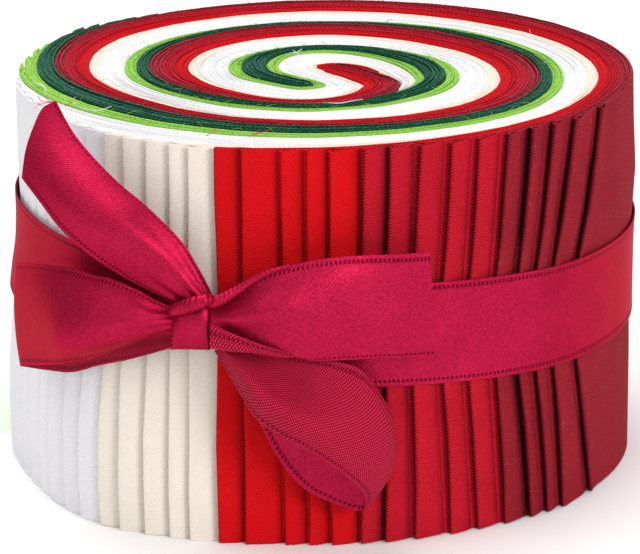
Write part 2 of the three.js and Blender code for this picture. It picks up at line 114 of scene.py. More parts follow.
# The short inner tail of the stack lies between the two: matching turns on the seam and on the outer face.
TAIL = [
    (0.536, 0.086), (1.11, 0.087), (1.155, 0.175), (1.22, 0.25), (1.265, 0.31), (1.31, 0.345),
    (1.4, 0.4), (1.47, 0.45),
]
# How thick one folded strip lies where the strips end one after another round the outside.
STRIP_LAYER = [
    (2.345, 0.325), (2.42, 0.35), (2.5, 0.44), (2.56, 0.53), (2.64, 0.68), (2.75, 0.6), (2.84, 0.46),
    (2.91, 0.42),
]
ENDS_START = STRIP_LAYER[0][0]

# How far the folded ends lean round the drum, in degrees, at its top, under the ribbon and at its foot. The
# lean under the ribbon reaches from LEAN_FOOT to LEAN_TOP.
LEAN = [
    (-10, 0, 0, 0), (-2, 0, -0.1, -0.1), (2.1, 0, -0.3, -0.2), (7.5, 0.2, -0.2, -0.5),
    (12, 0.1, -0.6, -0.9), (17.1, 0.3, -1.1, -0.5), (22.7, 0.3, -1.1, 0.5), (27.6, 0.6, -1.1, 0.7),
    (33, 0.7, -1.3, 0.8), (37.8, 1.0, -1.5, 1.7), (42.7, 0.9, -2.6, 0.6), (47.6, 1.4, -3.5, -0.5),
    (55.2, 3.0, -4.3, 0.8), (70, 2, -3, 0.5), (100, 0, 0, 0),
]
LEAN_FOOT, LEAN_TOP = 25, 40
LEAN_EASE = 0.95
# How far the foot of the drum swells: by bearing, and the share of it by height.
SWELLING = [
    (-156, 0), (-120, 2.0), (-90, 3.2), (-70, 2.8), (-60, 3.3), (-51, 3.8), (-44, 4.1), (-36, 3.6),
    (-30, 2.9), (-20, 1.7), (-13, 0.8), (-6, 0.3), (4, 0),
]
SWELLING_BY_HEIGHT = [
    (0, 0.93), (3, 0.98), (7, 1), (12, 0.98), (16.5, 0.88), (20.7, 0.74), (24.8, 0.61), (32.5, 0.31),
    (34.5, 0.18), (37, 0.07), (41, 0),
]
# The wrap is firm inside FIRM_RADIUS, and leans and bulges in full outside SOFT_RADIUS.
FIRM_RADIUS, SOFT_RADIUS = 38, 50
SIDE_BULGE = dict(depth=0.6, height=48, spread=8, begins=40, whole=75, whole_to=110, gone=160)
PINCH_DEPTH, PINCH_HALF_WIDTH = 0.22, 8.5


def curve_through(rows):
    """A monotone cubic through (x, y) rows."""
    xs, ys = np.array(rows, float).T
    slopes = np.diff(ys) / np.diff(xs)
    tangents = np.zeros(len(xs))
    tangents[0], tangents[-1] = slopes[0], slopes[-1]
    for i in range(1, len(xs) - 1):
        a, b = slopes[i - 1], slopes[i]
        if a * b > 0:
            tangents[i] = 2 * a * b / (a + b)

    def at(x):
        x = np.asarray(x, float)
        i = np.clip(np.searchsorted(xs, x) - 1, 0, len(xs) - 2)
        span = xs[i + 1] - xs[i]
        s = np.clip((x - xs[i]) / span, 0, 1)
        return (
            (1 + 2 * s) * (1 - s) ** 2 * ys[i]
            + s * (1 - s) ** 2 * span * tangents[i]
            + s * s * (3 - 2 * s) * ys[i + 1]
            - s * s * (1 - s) * span * tangents[i + 1]
        )

    return at


outer_face = curve_through(OUTER_FACE)
eye_seam = curve_through(EYE_SEAM)
tail_face = curve_through(TAIL)
loose_layer = curve_through(STRIP_LAYER)
swelling_at = curve_through(SWELLING)
swelling_height = curve_through(SWELLING_BY_HEIGHT)
SEAM_START, SEAM_END = EYE_SEAM[0][0], EYE_SEAM[-1][0]
FACE_START = OUTER_FACE[0][0]
LEAN_TABLE = np.array(LEAN, float).T


def inner_face(turn):
    """The radius of the stack's inner face at a turn."""
    turn = np.asarray(turn, float)
    return np.where(turn < SEAM_END, eye_seam(turn), outer_face(turn - 1))


def layer_at(turn):
    """How thick one folded strip lies at a turn, were all strips alike."""
    turn = np.asarray(turn, float)
    return np.where(turn < ENDS_START, (outer_face(turn) - inner_face(turn)) / STRIPS, loose_layer(turn))


def end_turn(bearing):
    return FRONT_TURN - bearing / 360


def polar(turn, radius):
    return np.stack([radius * np.sin(2 * np.pi * turn), radius * np.cos(2 * np.pi * turn)], axis=-1)


def smoothstep(x, low, high):
    s = np.clip((np.asarray(x, float) - low) / (high - low), 0, 1)
    return s * s * (3 - 2 * s)


def room_at(turn):
    """How many strips' room each colour takes at a turn."""
    turn = np.asarray(turn, float)
    tight = (1 + np.cos(4 * np.pi * turn)) / 2 * (1 - smoothstep(turn, TIGHT_FADES, TIGHT_GONE))
    return np.array(LOOSE_ROOM) + (np.array(TIGHT_ROOM) - LOOSE_ROOM) * tight[..., None]


def eye_room_at(along):
    """The same at places along the eye, which lies tight at its back too and runs over into the turns."""
    rows = np.array([r[0] for r in EYE_ROOM])
    rooms = np.array([r[1] for r in EYE_ROOM], float)
    rooms = np.stack([np.interp(along, rows, rooms[:, i]) for i in range(len(COLOURS))], axis=-1)
    rooms += (room_at(FACE_START + along) - LOOSE_ROOM) * smoothstep(along, *EYE_TIGHT)[:, None]
    begins, ends = EYE_TIGHT_BACK
    at_back = smoothstep(along, *begins) * (1 - smoothstep(along, *ends))
    return rooms + (room_at(SEAM_START - along) - LOOSE_ROOM) * (rooms > 0) * at_back[:, None]


def faces_at(along):
    """The inner and outer face of the whole stack at places along the eye."""
    seam = np.where(along < 0, SEAM_START - along, SEAM_START)
    face = np.where(along < 0, np.maximum(FACE_START, tail_face(seam)), FACE_START + along)
    turn = np.maximum(seam, face)
    radius = np.where(turn > SEAM_START, inner_face(turn), eye_seam(SEAM_START))
    return polar(turn, radius), polar(face, outer_face(face))


def belt_middle(bearing):
    return BELT_MIDDLE_Z - BELT_TILT * np.sin(np.radians(bearing))


def swelling(bearing, radius, z):
    """How much further out the swollen foot lies."""
    first, last = SWELLING[0][0], SWELLING[-1][0]
    swell = np.where((bearing > first) & (bearing < last), swelling_at(bearing), 0)
    return swell * swelling_height(np.clip(z, 0, SWELLING_BY_HEIGHT[-1][0])) * (radius / ROLL_RADIUS) ** 2


def side_bulge(bearing, z):
    """How much further out the right side lies above the ribbon."""
    b = SIDE_BULGE
    side = smoothstep(bearing, b["begins"], b["whole"]) * (1 - smoothstep(bearing, b["whole_to"], b["gone"]))
    return b["depth"] * side * np.exp(-(((z - b["height"]) / b["spread"]) ** 2))


def deform(x, y, z):
    """Where a point of the neatly wound roll lies in the roll as it is: leaning, swollen and pinched."""
    radius = np.hypot(x, y)
    bearing = np.degrees(np.arctan2(x, -y))
    outside = smoothstep(radius, FIRM_RADIUS, SOFT_RADIUS)
    top = np.clip((z - LEAN_TOP) / (STRIP_WIDTH - LEAN_TOP), 0, 1) ** LEAN_EASE
    foot = np.clip((LEAN_FOOT - z) / LEAN_FOOT, 0, 1) ** LEAN_EASE
    at_top, at_middle, at_foot = (np.interp(bearing, LEAN_TABLE[0], row) for row in LEAN_TABLE[1:])
    turned = at_top * top + at_middle * (1 - top - foot) + at_foot * foot
    pinch = np.exp(-(((z - belt_middle(bearing)) / PINCH_HALF_WIDTH) ** 4))
    grown = swelling(bearing, radius, z) + outside * side_bulge(bearing, z) - PINCH_DEPTH * outside * pinch
    angle = np.radians(bearing + turned * outside)
    radius = radius + grown
    return radius * np.sin(angle), -radius * np.cos(angle), z


# The pale strips lie so close that their cut edges read as one surface.
PALE = ("white", "cream")
PALE_UNEVENNESS = 0.3
# Where a folded strip's four lines lie across its room: the outer layer's outer and inner side, and the inner
# layer's outer and inner side.
SIDES = (0.98, 0.53, 0.47, 0.02)
PALE_SIDES = (0.998, 0.505, 0.495, 0.002)
# The heights of a strip's wall, and the ones that it has where it is hidden deep, less deep and not at all.
LEVELS = np.array([0, 8, 16, 24, 32, 40, 48, 56, 63.5])
DEEP_LEVELS, HIDDEN_LEVELS, SHOWN_LEVELS = 2, 5, 9
WALL_LEVELS = {DEEP_LEVELS: [0, 8], HIDDEN_LEVELS: [0, 2, 4, 5, 8], SHOWN_LEVELS: list(range(9))}
DEEP_TURN = 1.5

# How densely a strip's places lie in the eye, under other strips and where it shows. Near its fold they lie
# NEAR millimetres before the nose.
EYE_PER_TURN, HIDDEN_PER_TURN, SHOWN_PER_TURN = 64, 60, 120
NEAR = np.arange(0.5, 6.0, 0.7)
NEAR_GAP = 0.6
NOSE_STEPS = 5
# Strips of one colour start a little after one another in the eye. The margins are left free before the eye's
# end and before a strip's shown part.
EYE_STAGGER, EYE_MARGIN, HIDDEN_MARGIN = 0.004, 0.006, 0.004
EXIT = math.ceil((SEAM_START + 0.01) * HIDDEN_PER_TURN) / HIDDEN_PER_TURN
EYE_END = EXIT - FACE_START
# A strip's shown part begins a little under the fold that bares it. The outermost strip is bare from a turn
# before the place where the innermost one ends.
SHOWN_MARGIN = 0.01
INNERMOST_END = 2.9056
OUTERMOST_BARED = INNERMOST_END - 1

# The fold: its share of the layer's thickness and of the puff, how thick the cloth is in it, and how far back
# from the nose it still stands up. Under the ribbon and at the drum's foot it is pressed flat.
NOSE_SHARE, PUFF_SHARE, CLOTH_SHARE, LEAST_INSIDE = 0.96, 0.92, 0.45, 0.03
RISE_REACH = 2.0
BELT_PRESS, BELT_PRESS_HALF = 0.75, 10
FOOT_PRESS, FOOT_PRESS_HEIGHT = 0.55, 4
# The groove beside a fold, and how far from the fold the painted shade reaches that darkens the cloth in it.
# A colour's innermost strip has a shallower groove, so that no other colour shows in it.
DIP, FIRST_DIP, DIP_REACH, PAINTED_SHADE_REACH = -0.6, -0.4, 1.0, 1.1
# How much painted shade the places round the nose get, on each of the four lines.
NOSE_PAINTED_SHADES = [[0, 0.1, 0.35, 0.7, 0.9], [0] * 5, [0] * 5, [1, 1, 1, 1, 0.95]]

# Depth and length of the waves of a fold along its height.
FOLD_WAVES = ((0.12, 7.5), (0.07, 3.1))
# The cut edges: depth, length and phase number of their waves, and how unevenly the strips stand.
TOP_WAVES = ((0.07, 19, 2), (0.05, 7.3, 3), (0.03, 2.1, 4))
FOOT_LIFT_SHARE, FOOT_CLEAR, FOOT_WAVE, FOOT_WAVE_LENGTH = 0.3, 0.06, 0.05, 11
UNEVEN_HEIGHT, UNEVEN_SKEW, SKEW_REACH = 0.06, 0.12, 15
STRIP_SHARP = 55


class Strip:
    """A folded strip: its places, from its cut end in the eye to its folded nose, and its lines."""

    def __init__(self, index, member):
        self.index, self.member, self.colour = index, member, COLOURS[index]
        self.strips = self.colour["strips"]
        self.pale = self.colour["name"] in PALE
        ends = [end_turn(e) for c in COLOURS for e in reversed(c["ends"])]
        place = sum(c["strips"] for c in COLOURS[:index]) + member
        self.end = ends[place]
        self.bared = ends[place + 1] if place + 1 < STRIPS else OUTERMOST_BARED
        self.shown = self.bared - SHOWN_MARGIN

        first = self.colour["first"] + EYE_STAGGER * (self.strips - 1 - member)
        self.eye = np.arange(first, EYE_END - EYE_MARGIN, 1 / EYE_PER_TURN)
        self.hidden = np.arange(EXIT, self.shown - HIDDEN_MARGIN, 1 / HIDDEN_PER_TURN)
        nose_start = self.end - self.nose_half(self.colour["puff"]) / MM_PER_TURN
        self.near = NEAR[NEAR < (nose_start - self.shown) * MM_PER_TURN - NEAR_GAP][::-1]
        last = nose_start - (self.near[0] if len(self.near) else 0) / MM_PER_TURN
        self.far = np.arange(self.shown, last - 0.5 / SHOWN_PER_TURN, 1 / SHOWN_PER_TURN)

    def nose_half(self, puff):
        """Half the thickness of the folded nose."""
        return (float(layer_at(self.end)) * NOSE_SHARE + puff * PUFF_SHARE) / 2

    def puff_at(self, level):
        """How far the fold stands up at a height."""
        puff = self.colour["puff"]
        if puff <= 0:
            return puff
        bearing = (FRONT_TURN - self.end) * 360
        belt = np.exp(-(((level - belt_middle(bearing)) / BELT_PRESS_HALF) ** 4))
        foot = math.exp(-((level / FOOT_PRESS_HEIGHT) ** 2))
        return puff * (1 - BELT_PRESS * belt - FOOT_PRESS * foot)

    def turns_at(self, level, wave):
        """Where the strip ends at a height, and the turns of its places between the eye and the nose."""
        end = self.end + wave(level) / MM_PER_TURN
        nose_start = end - self.nose_half(self.puff_at(level)) / MM_PER_TURN
        near = nose_start - self.near / MM_PER_TURN
        return end, np.concatenate([self.hidden, self.far, near, [nose_start]])

    def eye_lines(self):
        inner, outer = faces_at(self.eye)
        rooms = eye_room_at(self.eye)
        share = rooms / rooms.sum(axis=1, keepdims=True)
        own = share[:, self.index]
        low = share[:, : self.index].sum(axis=1) + own * self.member / self.strips
        sides = PALE_SIDES if self.pale else SIDES
        return [inner + (outer - inner) * (low + own / self.strips * side)[:, None] for side in sides]

    def radii_at(self, level, end, turns):
        """The radii of the four lines at these turns."""
        layer = layer_at(turns)
        rooms = room_at(turns)
        own = layer * rooms[:, self.index] / self.strips
        floor = inner_face(turns) + layer * rooms[:, : self.index].sum(axis=1) + own * self.member
        before_end = (end - turns) * MM_PER_TURN
        rise = self.puff_at(level) * np.exp(-((before_end / RISE_REACH) ** 2))
        past_fold = (turns - self.bared) * MM_PER_TURN
        dip = (FIRST_DIP if self.member == 0 else DIP) * np.exp(-((past_fold / DIP_REACH) ** 2))
        dip = dip * (turns > self.shown)
        sides = PALE_SIDES if self.pale else SIDES
        return [floor + own * side + raised + dip for side, raised in zip(sides, (rise, rise, 0, 0))]

    def nose_lines(self, end, radii):
        """The places round the fold on each of the four lines, which follow its outside and its inside."""
        thick = float(layer_at(end)) * CLOTH_SHARE
        middle = (radii[0][-1] + radii[3][-1]) / 2
        outside = (radii[0][-1] - radii[3][-1]) / 2
        inside = max(outside - thick, LEAST_INSIDE)
        lines = []
        for half, back, way in ((outside, 0, 1), (inside, thick, 1), (inside, thick, -1), (outside, 0, -1)):
            angles = math.pi / 2 * np.arange(1, NOSE_STEPS + 1) / NOSE_STEPS
            turns = end - (back + half * (1 - np.sin(angles))) / MM_PER_TURN
            lines.append(polar(turns, middle + way * half * np.cos(angles)))
        return lines

    def lines_at(self, level, wave):
        end, turns = self.turns_at(level, wave)
        radii = self.radii_at(level, end, turns)
        parts = zip(self.eye_lines(), radii, self.nose_lines(end, radii))
        return [np.concatenate([eye, polar(turns, radius), nose]) for eye, radius, nose in parts]

    def walls(self):
        """How many levels the wall has at each place."""
        shown = len(self.far) + len(self.near) + 1 + NOSE_STEPS
        return np.concatenate([
            np.full(len(self.eye), DEEP_LEVELS),
            np.where(self.hidden < DEEP_TURN, DEEP_LEVELS, HIDDEN_LEVELS),
            np.full(shown, SHOWN_LEVELS),
        ])

    def painted_shades(self, wave):
        """How much painted shade each place gets in the groove beside the next fold, on each of the four
        lines.
        """
        turns = self.turns_at(LEVELS[0], wave)[1]
        past_fold = (turns - self.bared) * MM_PER_TURN
        painted_shade = np.exp(-((past_fold / PAINTED_SHADE_REACH) ** 2)) * (turns > self.shown)
        return [np.concatenate([np.zeros(len(self.eye)), painted_shade, np.array(nose)]) for nose in NOSE_PAINTED_SHADES]


def zip_columns(a, b, heights):
    """Faces between two upright columns of points, which may have different heights."""
    if len(a) == len(b):
        return [(a[i], a[i + 1], b[i + 1], b[i]) for i in range(len(a) - 1)]
    faces = []
    i = j = 0
    while i < len(a) - 1 or j < len(b) - 1:
        if j == len(b) - 1 or (i < len(a) - 1 and heights[a[i + 1]] <= heights[b[j + 1]]):
            faces.append((a[i], a[i + 1], b[j]))
            i += 1
        else:
            faces.append((a[i], b[j + 1], b[j]))
            j += 1
    return faces


def strip_faces(columns, loop, heights, count):
    """The faces of a strip's walls, and of the cut edges of its two layers, above and below."""
    faces = []
    ring = [columns[key] for key in loop]
    for a, b in zip(ring, ring[1:] + ring[:1]):
        faces += zip_columns(a, b, heights)
    last = count - 1
    columns = {**columns, (1, last): columns[(2, last)], (3, last): columns[(0, last)]}
    for over, within in ((0, 1), (2, 3)):
        for i in range(last):
            a, b = columns[(over, i)], columns[(over, i + 1)]
            c, d = columns[(within, i + 1)], columns[(within, i)]
            faces.append((d[-1], c[-1], b[-1], a[-1]))
            faces.append((a[0], b[0], c[0], d[0]))
    return faces


def run_along(points):
    """How far along a path each of its points lies."""
    return np.concatenate([[0], np.cumsum(np.linalg.norm(np.diff(points, axis=0), axis=1))])


def add_uvs(obj, name, uvs):
    """Gives an object a UV map, from one pair for each of its points."""
    mesh = obj.data
    layer = mesh.uv_layers.new(name=name)
    corners = np.empty(len(mesh.loops), dtype=np.int32)
    mesh.loops.foreach_get("vertex_index", corners)
    layer.uv.foreach_set("vector", np.asarray(uvs, np.float32)[corners].ravel())


def new_object(name, points, faces, materials, uvs=None):
    """An object from points, with uvs as its places on the cloth."""
    mesh = bpy.data.meshes.new(name)
    mesh.from_pydata((np.asarray(points, float) * MM).tolist(), [], faces)
    mesh.validate()
    for material in materials:
        mesh.materials.append(material)
    obj = bpy.data.objects.new(name, mesh)
    bpy.context.scene.collection.objects.link(obj)
    mesh.shade_smooth()
    if uvs is not None:
        add_uvs(obj, "cloth", uvs)
    return obj


def strip_piece(index, member, rng):
    """One strip as a closed mesh: out along its outer layer, round the fold and back along its inner one."""
    strip = Strip(index, member)
    colour = strip.colour
    phase = rng.uniform(0, 2 * np.pi, 6)
    wobble = rng.uniform(0.5, 1.0, 2)

    def wave(z):
        """How far the fold wanders round the drum at a height."""
        waves = zip(FOLD_WAVES, wobble, phase)
        return sum(depth * share * math.sin(z / length + start) for (depth, length), share, start in waves)

    lines = np.array([strip.lines_at(z, wave) for z in LEVELS])  # level, line, place, xy
    walls, painted_shades = strip.walls(), strip.painted_shades(wave)
    count = len(walls)
    run = run_along(lines[0, 0])
    unevenness = PALE_UNEVENNESS if strip.pale else 1
    tall = colour["lift"] + rng.normal(0, UNEVEN_HEIGHT) * unevenness
    skew = rng.normal(0, UNEVEN_SKEW) * np.tanh((run[-1] - run) / SKEW_REACH) * unevenness

    def cut_edges(u, tilt):
        """The heights of the lower and the upper cut edge at a place along the cloth."""
        above = STRIP_WIDTH + tall + tilt
        for depth, length, number in TOP_WAVES:
            above += depth * math.sin(u / length + phase[number])
        below = FOOT_LIFT_SHARE * colour["lift"] + FOOT_CLEAR
        return below + FOOT_WAVE * math.sin(u / FOOT_WAVE_LENGTH + phase[5]), above

    back = range(count - 2, -1, -1)
    loop = [(0, i) for i in range(count)] + [(3, i) for i in back]
    loop += [(2, i) for i in range(count)] + [(1, i) for i in back]
    points, uvs, painted_shade_uvs, heights, columns = [], [], [], [], {}
    for line, i in loop:
        outer = line < 2
        u = run[i] if outer else 2 * run[-1] - run[i]
        below, above = cut_edges(u, skew[i] if outer else -skew[i])
        column = columns[(line, i)] = []
        for level in WALL_LEVELS[int(walls[i])]:
            z = below + (above - below) * LEVELS[level] / STRIP_WIDTH
            column.append(len(points))
            points.append((*lines[level, line, i], z))
            uvs.append((-u, z))
            # Painted shade: each place's share of the shade painted into the groove beside the next fold,
            # carried to the material in a UV map.
            painted_shade_uvs.append((painted_shades[line][i], 0))
            heights.append(LEVELS[level])
    points = np.stack(deform(*np.array(points).T), axis=-1)
    faces = strip_faces(columns, loop, heights, count)
    name = f"strip_{colour['name']}_{colour['strips'] - member}"
    piece = new_object(name, points, faces, [MATERIALS[colour["name"]]], uvs)
    add_uvs(piece, "painted_shade", painted_shade_uvs)
    piece.data.set_sharp_from_angle(angle=math.radians(STRIP_SHARP))
    return piece


class Tree:
    """Builds a material's nodes. Inputs may be numbers, colours or other nodes' outputs."""

    def __init__(self, name):
        self.material = bpy.data.materials.new(name)
        self.material.use_nodes = True
        self.nodes = self.material.node_tree.nodes
        self.links = self.material.node_tree.links
        self.bsdf = self.nodes["Principled BSDF"]

    def fill(self, socket, value):
        if isinstance(value, bpy.types.NodeSocket):
            self.links.new(value, socket)
        else:
            socket.default_value = value

    def set(self, node, **inputs):
        """Fills a node's inputs by name, or by number as i0, i1 and so on."""
        for key, value in inputs.items():
            numbered = key[0] == "i" and key[1:].isdigit()
            self.fill(node.inputs[int(key[1:]) if numbered else key], value)

    def add(self, kind, props=None, **inputs):
        node = self.nodes.new("ShaderNode" + kind)
        for key, value in (props or {}).items():
            setattr(node, key, value)
        self.set(node, **inputs)
        return node

    def math(self, operation, a, b=0.0, c=0.0):
        return self.add("Math", {"operation": operation}, i0=a, i1=b, i2=c).outputs[0]

    def times(self, a, b, plus=0.0):
        return self.math("MULTIPLY_ADD", a, b, plus)

    def plus(self, a, b):
        return self.math("ADD", a, b)

    def minus(self, a, b):
        return self.math("SUBTRACT", a, b)

    def wave(self, value, pitch):
        """A sine from 0 to 1 along value."""
        angle = self.times(value, 2 * math.pi / pitch)
        return self.times(self.math("SINE", angle), 0.5, 0.5)

    def mix(self, share, a, b):
        return self.add("Mix", {"data_type": "RGBA"}, i0=share, i6=a, i7=b).outputs[2]

    def ramp(self, value, low, high, out_low=0.0, out_high=1.0):
        props = {"interpolation_type": "SMOOTHSTEP"}
        return self.add("MapRange", props, i0=value, i1=low, i2=high, i3=out_low, i4=out_high).outputs[0]

    def noise(self, size, detail):
        """Noise over the object, with features of this size in millimetres."""
        place = self.add("TexCoord").outputs["Object"]
        place = self.add("Mapping", None, Vector=place, Scale=(1 / MM / size,) * 3)
        return self.add("TexNoise", None, Vector=place.outputs[0], Scale=1.0, Detail=detail).outputs["Fac"]

    def parts(self, vector):
        return self.add("SeparateXYZ", None, Vector=vector).outputs

    def uv_map(self, name):
        """The two parts of a UV map."""
        return self.parts(self.add("UVMap", {"uv_map": name}).outputs[0])[:2]

    def relief(self, height, depth):
        """Bumps the surface by height, which is 1 at a depth in millimetres."""
        bump = self.add("Bump", None, Height=height, Distance=depth * MM, Strength=1.0)
        self.set(self.bsdf, Normal=bump.outputs[0])


def rgb(*shown):
    """A colour given as it shows, from 0 to 255, as the shader takes it."""
    shares = [v / 255 for v in shown]
    return (*(s / 12.92 if s <= 10 / 255 else ((s + 0.055) / 1.055) ** 2.4 for s in shares), 1)


def shaded(colour, share):
    return (*(v * share for v in colour[:3]), 1)


TWILL_LEAN = math.radians(33)
RIB_PITCH, YARN_PITCH = 0.42, 0.5
# How dark the painted shade in the grooves beside the folds gets, as a share of a colour's dark tone.
PAINTED_SHADE_SHARE = 0.06


def twill(tree):
    """The twill's slanting ribs, broken up into yarns, from 0 to 1."""
    u, v = tree.uv_map("cloth")
    cos, sin = math.cos(TWILL_LEAN), math.sin(TWILL_LEAN)
    across = tree.minus(tree.times(v, cos), tree.times(u, sin))
    length = tree.plus(tree.times(u, cos), tree.times(v, sin))
    rib = tree.wave(across, RIB_PITCH)
    yarn = tree.wave(tree.times(across, 0.9, length), YARN_PITCH)
    return tree.times(rib, tree.times(yarn, 0.45, 0.55))


def cotton(name, light, dark, cut, contrast, painted_shade_depth, relief=0.15):
    """A twill cotton. cut is the colour of its cut edges and lint, painted_shade_depth how far painted shade
    darkens the grooves by the folds, and relief is in millimetres.
    """
    tree = Tree(name + "_twill")
    weave = twill(tree)
    tone = tree.times(weave, contrast, 0.5 - contrast / 2)
    tone = tree.plus(tone, tree.times(tree.noise(9, 3), 0.5, -0.25))
    tone = tree.plus(tone, tree.times(tree.noise(0.5, 2), 0.3, -0.15))
    wall = tree.mix(tree.ramp(tone, 0.0, 1.0), dark, light)
    lint = tree.times(tree.ramp(tree.noise(0.8, 4), 0.58, 0.72), 0.3)
    wall = tree.mix(lint, wall, cut)
    # Painted shade: the cloth in the grooves beside the folds is darkened towards a much darker copy of its
    # dark colour.
    painted_shade = tree.times(tree.uv_map("painted_shade")[0], painted_shade_depth)
    wall = tree.mix(painted_shade, wall, shaded(dark, PAINTED_SHADE_SHARE))
    speck = tree.noise(0.35, 2)
    edge = tree.mix(tree.ramp(speck, 0.3, 0.75), dark, cut)
    upward = tree.parts(tree.add("NewGeometry").outputs["True Normal"])[2]
    on_edge = tree.ramp(upward, 0.5, 0.8)
    colour = tree.mix(on_edge, wall, edge)
    tree.set(tree.bsdf, **{"Base Color": colour, "Roughness": 0.9, "Specular IOR Level": 0.12})
    rougher = tree.minus(speck, weave)
    tree.relief(tree.times(on_edge, rougher, weave), relief)
    return tree.material


# The sixth value of each colour is how strongly painted shade darkens its grooves beside the folds.
MATERIALS = {
    "green": cotton("green", rgb(30, 105, 75), rgb(8, 52, 38), rgb(70, 130, 105), 0.5, 0.5),
    "lime": cotton("lime", rgb(160, 215, 85), rgb(120, 180, 60), rgb(175, 222, 105), 0.3, 0.2),
    "white": cotton("white", rgb(241, 240, 243), rgb(228, 227, 232), rgb(228, 225, 223), 0.2, 0.02, 0.06),
    "cream": cotton("cream", rgb(237, 229, 218), rgb(228, 218, 204), rgb(230, 222, 211), 0.3, 0.08, 0.07),
    "red": cotton("red", rgb(232, 14, 24), rgb(190, 4, 12), rgb(205, 24, 36), 0.9, 0.6),
    "crimson": cotton("crimson", rgb(222, 26, 50), rgb(152, 8, 26), rgb(200, 34, 54), 0.9, 0.9),
    "dark_red": cotton("dark_red", rgb(170, 32, 50), rgb(126, 16, 30), rgb(190, 62, 80), 0.7, 0.95),
}

# The ribbon's selvedge: how far in from its edge it begins and its stitches end, and their pitch.
SELVEDGE, STITCH_REST, STITCH_SOFT = 1.2, 0.4, 0.25
STITCH_PITCH = 0.74
STITCH_COLOUR = rgb(108, 4, 34)
SATIN_RIB_PITCH, DOT_PITCH = 0.44, 0.56
SATIN_FINISH = {"Roughness": 0.44, "Specular IOR Level": 0.3, "Metallic": 0.8}
MATTE_FINISH = {"Roughness": 0.75, "Specular IOR Level": 0.2, "Metallic": 0.0}
RIBBON_SHEEN = rgb(255, 95, 145)
RIBBON_RELIEF = 0.13


def satin_face(tree, u, v, grain):
    """The shiny face: its colour and its height."""
    rib = tree.wave(tree.times(v, 0.8, u), SATIN_RIB_PITCH)
    tone = tree.times(grain, 0.7, tree.times(rib, 0.14, -0.05))
    tone = tree.times(tree.noise(7, 3), 0.2, tone)
    colour = tree.mix(tree.ramp(tone, 0.1, 0.9), rgb(130, 12, 38), rgb(204, 34, 77))
    return colour, tree.times(rib, 0.2, grain)


def matte_face(tree, u, v, grain):
    """The matte back with its rows of small light dots: its colour and its height."""
    up, down = tree.plus(u, v), tree.minus(u, v)
    dots = tree.times(tree.wave(up, DOT_PITCH), tree.wave(down, DOT_PITCH))
    tone = tree.times(grain, 0.3, tree.minus(dots, 0.15))
    return tree.mix(tree.ramp(tone, 0.25, 0.8), rgb(138, 8, 34), rgb(214, 58, 92)), dots


def ribbon_material(name, face, finish):
    """One face of the ribbon, with its stitched selvedges."""
    tree = Tree(name)
    u, v = tree.uv_map("cloth")
    half = RIBBON_WIDTH / 2
    from_middle = tree.math("ABSOLUTE", tree.minus(v, half))
    selvedge = tree.ramp(from_middle, half - SELVEDGE, half - SELVEDGE + STITCH_SOFT)
    stitches_from, stitches_to = half - STITCH_REST - STITCH_SOFT, half - STITCH_REST
    within = tree.ramp(from_middle, stitches_from, stitches_to, 1.0, 0.0)
    stitch = tree.times(tree.wave(u, STITCH_PITCH), within)
    stitched = tree.times(selvedge, stitch)
    colour, height = face(tree, u, v, tree.noise(0.32, 3))
    colour = tree.mix(stitched, colour, STITCH_COLOUR)
    tree.set(tree.bsdf, **{"Base Color": colour, "Specular Tint": RIBBON_SHEEN, **finish})
    bead = tree.minus(selvedge, stitched)
    tree.relief(tree.times(height, 0.4, bead), RIBBON_RELIEF)
    return tree.material


SATIN = ribbon_material("ribbon_satin", satin_face, SATIN_FINISH)
MATTE = ribbon_material("ribbon_back", matte_face, MATTE_FINISH)
RIBBON_SHARP = 60


def spline(points, count):
    """count + 1 points of a Catmull-Rom curve through the points, each as many steps from the next."""
    points = np.asarray(points, float)
    tangents = np.empty_like(points)
    tangents[1:-1] = (points[2:] - points[:-2]) / 2
    tangents[0], tangents[-1] = points[1] - points[0], points[-1] - points[-2]
    at = np.linspace(0, len(points) - 1, count + 1)
    i = np.minimum(at.astype(int), len(points) - 2)
    s = (at - i).reshape(-1, *([1] * (points.ndim - 1)))
    return (
        (1 + 2 * s) * (1 - s) ** 2 * points[i] + s * (1 - s) ** 2 * tangents[i]
        + s * s * (3 - 2 * s) * points[i + 1] - s * s * (1 - s) * tangents[i + 1]
    )


def sheet_faces(rows, columns, ring):
    """The faces of a closed sheet and their material slots. Its points are two grids, one after the other."""

    def at(side, i, j):
        return side * rows * columns + (i % rows) * columns + j

    faces, slots = [], []
    r, c = rows - 1, columns - 1
    for i in range(rows if ring else r):
        for j in range(c):
            faces.append((at(1, i, j), at(1, i + 1, j), at(1, i + 1, j + 1), at(1, i, j + 1)))
            faces.append((at(0, i, j), at(0, i, j + 1), at(0, i + 1, j + 1), at(0, i + 1, j)))
            slots += [0, 1]
        faces.append((at(0, i, 0), at(0, i + 1, 0), at(1, i + 1, 0), at(1, i, 0)))
        faces.append((at(0, i, c), at(1, i, c), at(1, i + 1, c), at(0, i + 1, c)))
        slots += [0, 0]
    if not ring:
        for j in range(c):
            faces.append((at(0, 0, j), at(1, 0, j), at(1, 0, j + 1), at(0, 0, j + 1)))
            faces.append((at(0, r, j), at(0, r, j + 1), at(1, r, j + 1), at(1, r, j)))
            slots += [0, 0]
    return faces, slots


